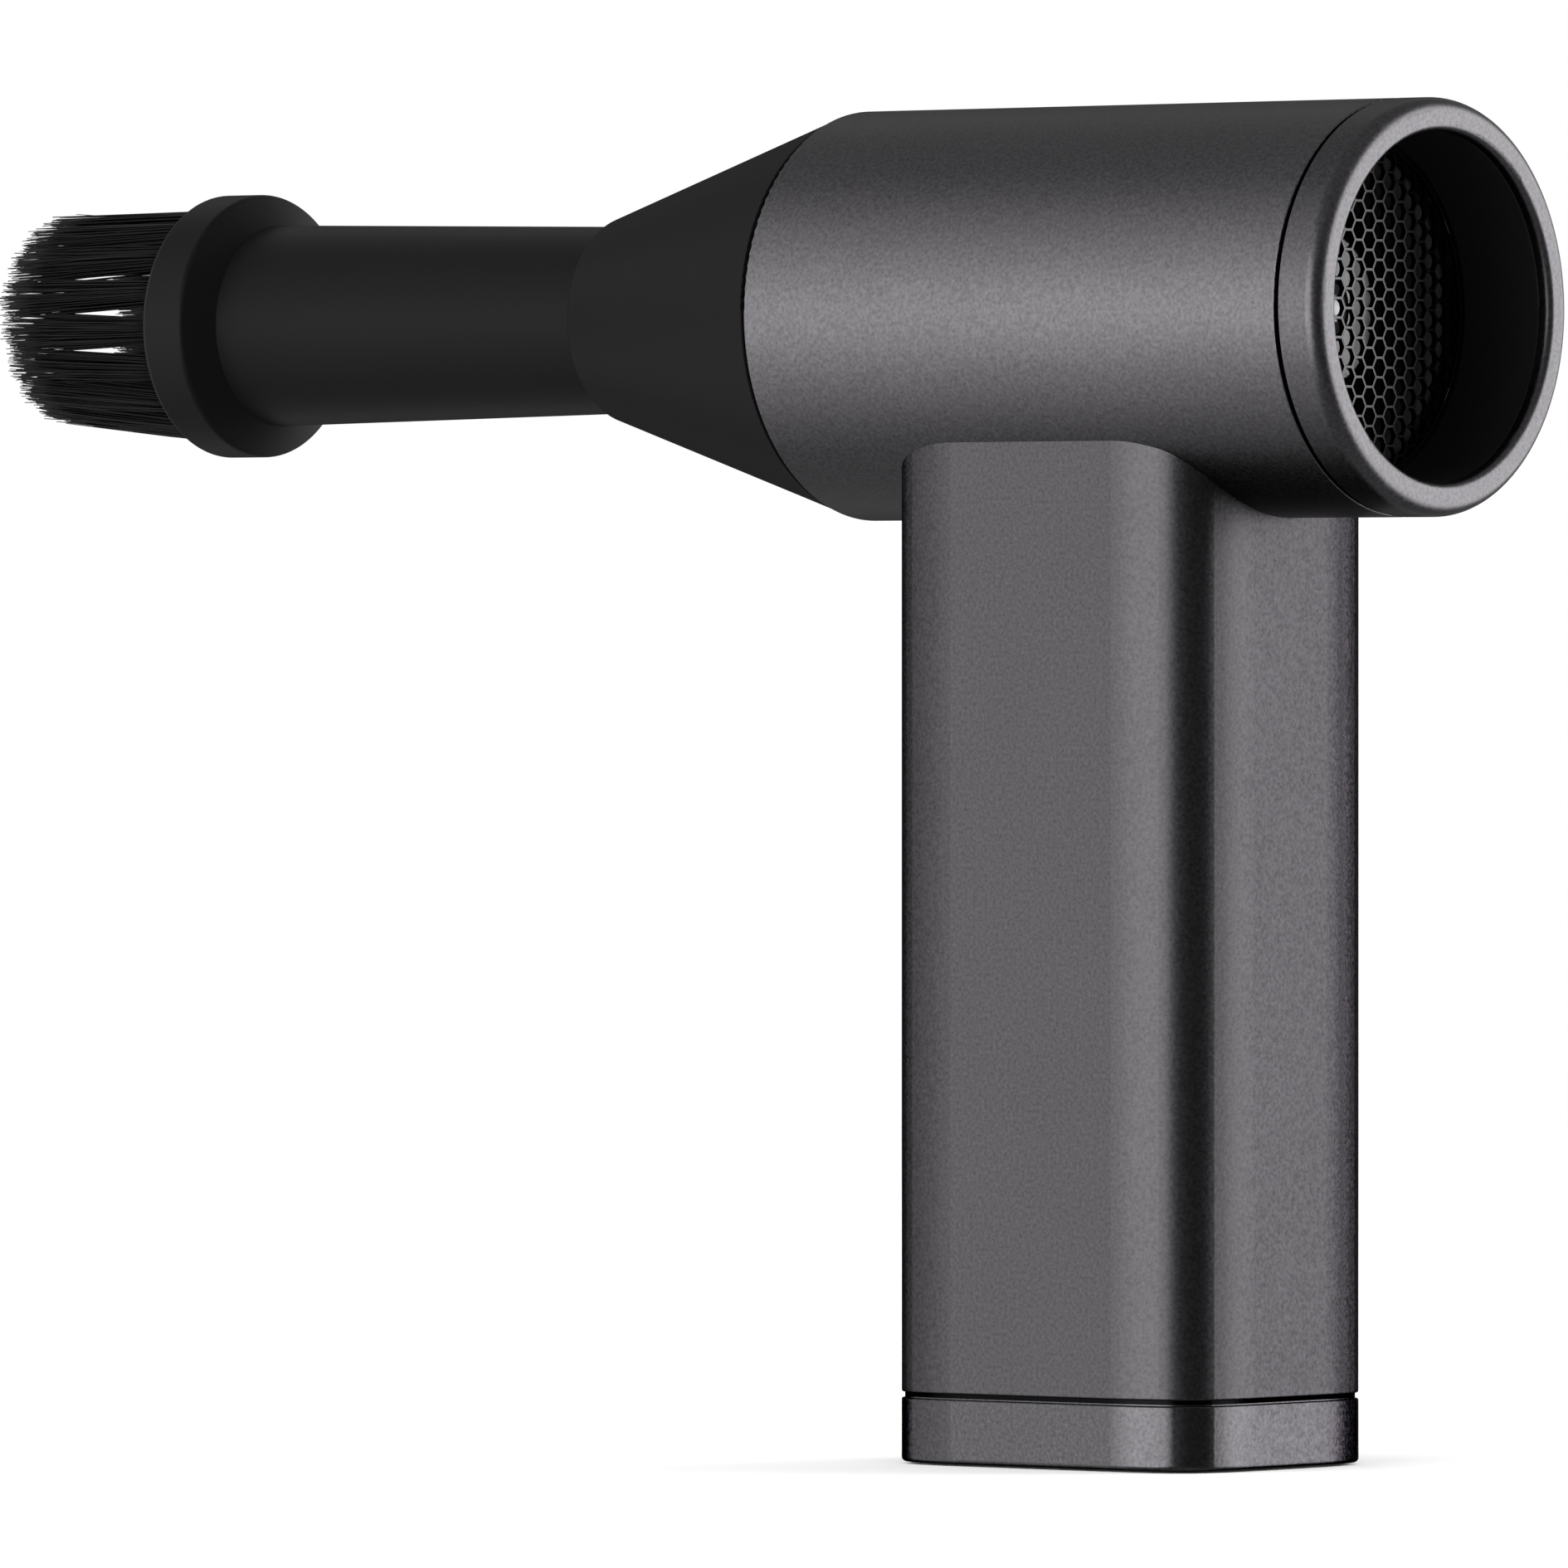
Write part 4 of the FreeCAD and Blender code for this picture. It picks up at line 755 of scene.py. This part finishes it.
class BLOWER_OT_shells(bpy.types.Operator):
    """Anodise the barrel, intake ring, handle and foot cap"""
    bl_idname = "blower.shells"
    bl_label = "Finish Shells"

    def execute(self, context):
        look = context.scene.blower_finish
        dress(anodised("anodised_barrel", look.barrel, look.shell_roughness, look.grain, 0.6),
              "barrel_housing")
        dress(anodised("anodised_ring", look.ring, look.shell_roughness, look.grain, 0.6), "intake_ring")
        dress(anodised("anodised_handle", look.handle, look.shell_roughness, look.grain, 0.25),
              "handle_housing")
        # The foot's neck inside the seam gets painted shade, starting a little below the seam's top.
        dress(anodised("anodised_foot", look.cap, look.cap_roughness, look.grain, 0.25,
                       painted_shade_from=SEAM_TOP - 0.8 * look.seam), "base_cap")
        return {"FINISHED"}


class BLOWER_OT_mouldings(bpy.types.Operator):
    """Texture the black mouldings"""
    bl_idname = "blower.mouldings"
    bl_label = "Finish Mouldings"

    def execute(self, context):
        look = context.scene.blower_finish
        dress(moulded("satin_black", look.moulding), "brush_tube", "brush_collar", "trigger_button")
        dress(moulded("cone_black", look.cone, gloss=0.012), "front_cone")
        dress(moulded("deep_black", look.cup, roughness=0.5, gloss=0.06), "intake_shroud")
        dress(moulded("inner_grey", (0.020, 0.020, 0.021), roughness=0.5, gloss=0.3),
              "motor_duct", "intake_bell", "motor_end_cap", "trigger_guide", "neck_bracket")
        dress(moulded("holder_grey", (0.045, 0.046, 0.048), roughness=0.55, gloss=0.3),
              "lower_cell_holder", "upper_cell_holder")
        dress(moulded("switch_black", (0.012, 0.012, 0.013), roughness=0.35, gloss=0.4),
              "micro_switch", "switch_plunger")
        return {"FINISHED"}


class BLOWER_OT_bristles(bpy.types.Operator):
    """Plant the ring of bristles"""
    bl_idname = "blower.bristles"
    bl_label = "Add Bristles"

    def execute(self, context):
        look = context.scene.blower_finish
        build_bristles(context.scene.blower_brush, nylon("black_nylon", look.nylon))
        return {"FINISHED"}


class BLOWER_OT_grille(bpy.types.Operator):
    """Fit the honeycomb grille"""
    bl_idname = "blower.grille"
    bl_label = "Add Grille"

    def execute(self, context):
        build_grille(context.scene.blower_grille, grille_metal())
        return {"FINISHED"}


class BLOWER_OT_motor(bpy.types.Operator):
    """Finish the impeller, the shaft, the bearings, the stator and the magnet"""
    bl_idname = "blower.motor"
    bl_label = "Finish Motor"

    def execute(self, context):
        dress(wheel_metal(), "impeller")
        dress(turned("nut_steel", (0.16, 0.16, 0.163), 0.28), "impeller_nut")
        dress(turned("bright_steel", (0.55, 0.55, 0.56), 0.18), "motor_shaft", "front_bearing",
              "rear_bearing")
        dress(turned("magnet_plate", (0.30, 0.30, 0.31), 0.28), "rotor_magnet")
        dress(banded("laminations", (0.06, 0.06, 0.065), (0.24, 0.24, 0.25), 0, 0.0007, 1.0, 0.38,
                     0.00002), "stator_core")
        dress(banded("enamelled_wire", (0.20, 0.055, 0.018), (0.62, 0.25, 0.09), 0, 0.0009, 1.0, 0.26,
                     0.00005), "stator_windings")
        return {"FINISHED"}


class BLOWER_OT_electrics(bpy.types.Operator):
    """Finish the boards, the leads, the battery cells and the charge socket"""
    bl_idname = "blower.electrics"
    bl_label = "Finish Electrics"

    def execute(self, context):
        dress(circuit_board(), "main_board", "motor_board", "charge_board")
        dress(cell_wrap(), "battery_cell_1", "battery_cell_2", "battery_cell_3")
        dress(sheet_metal("nickel_strip", (0.52, 0.50, 0.46), 0.30), "cell_tabs")
        dress(sheet_metal("plated_shell", (0.50, 0.50, 0.51), 0.24), "charge_socket")
        dress(rubber("lead_jacket", (0.16, 0.012, 0.012)), "battery_leads", "motor_leads")
        dress(clear_lens(), "indicator_lens")
        return {"FINISHED"}


class BLOWER_OT_small_parts(bpy.types.Operator):
    """Finish the rubber parts, the screws, the spring and the barrel's saddle"""
    bl_idname = "blower.small_parts"
    bl_label = "Finish Small Parts"

    def execute(self, context):
        dress(rubber("black_rubber", (0.010, 0.010, 0.010)), "foot_pad", "nozzle_seal", "front_damper",
              "rear_damper")
        dress(sheet_metal("zinc_steel", (0.46, 0.47, 0.49), 0.28), "cap_screws", "neck_screws",
              "trigger_spring", "barrel_saddle")
        return {"FINISHED"}


class BLOWER_OT_stage(bpy.types.Operator):
    """Set the camera, the floor and the light"""
    bl_idname = "blower.stage"
    bl_label = "Set Stage"

    def execute(self, context):
        settings = context.scene.blower_stage
        build_camera(settings)
        build_floor(settings.floor)
        surroundings(settings.dome)
        context.scene.view_settings.view_transform = "Standard"
        return {"FINISHED"}


class BLOWER_PT_panel(bpy.types.Panel):
    """Lists the steps and the settings"""
    bl_idname = "BLOWER_PT_panel"
    bl_label = "Cordless Blower"
    bl_space_type = "VIEW_3D"
    bl_region_type = "UI"
    bl_category = "Blower"

    def draw(self, context):
        for step in STEPS:
            self.layout.operator(step.bl_idname)
        for group, _ in SETTINGS:
            settings = getattr(context.scene, group)
            box = self.layout.box()
            for name in settings.__annotations__:
                box.prop(settings, name)


STEPS = (BLOWER_OT_stage, BLOWER_OT_shells, BLOWER_OT_mouldings, BLOWER_OT_bristles, BLOWER_OT_grille,
         BLOWER_OT_motor, BLOWER_OT_electrics, BLOWER_OT_small_parts)
SETTINGS = (("blower_finish", BlowerFinishSettings), ("blower_brush", BlowerBrushSettings),
            ("blower_grille", BlowerGrilleSettings), ("blower_stage", BlowerStageSettings))


def register():
    """Register the classes and hang the settings on the scene."""
    for group, settings in SETTINGS:
        bpy.utils.register_class(settings)
        setattr(bpy.types.Scene, group, PointerProperty(type=settings))
    for cls in (*STEPS, BLOWER_PT_panel):
        bpy.utils.register_class(cls)


def unregister():
    """Undo register."""
    for cls in (BLOWER_PT_panel, *reversed(STEPS)):
        bpy.utils.unregister_class(cls)
    for group, settings in reversed(SETTINGS):
        delattr(bpy.types.Scene, group)
        bpy.utils.unregister_class(settings)


def corners(box):
    """A box as plain lists."""
    return [list(corner) for corner in box]


def main():
    """Build everything."""
    register()
    for step in STEPS:
        group, name = step.bl_idname.split(".")
        getattr(getattr(bpy.ops, group), name)()


if __name__ == "__main__":
    main()
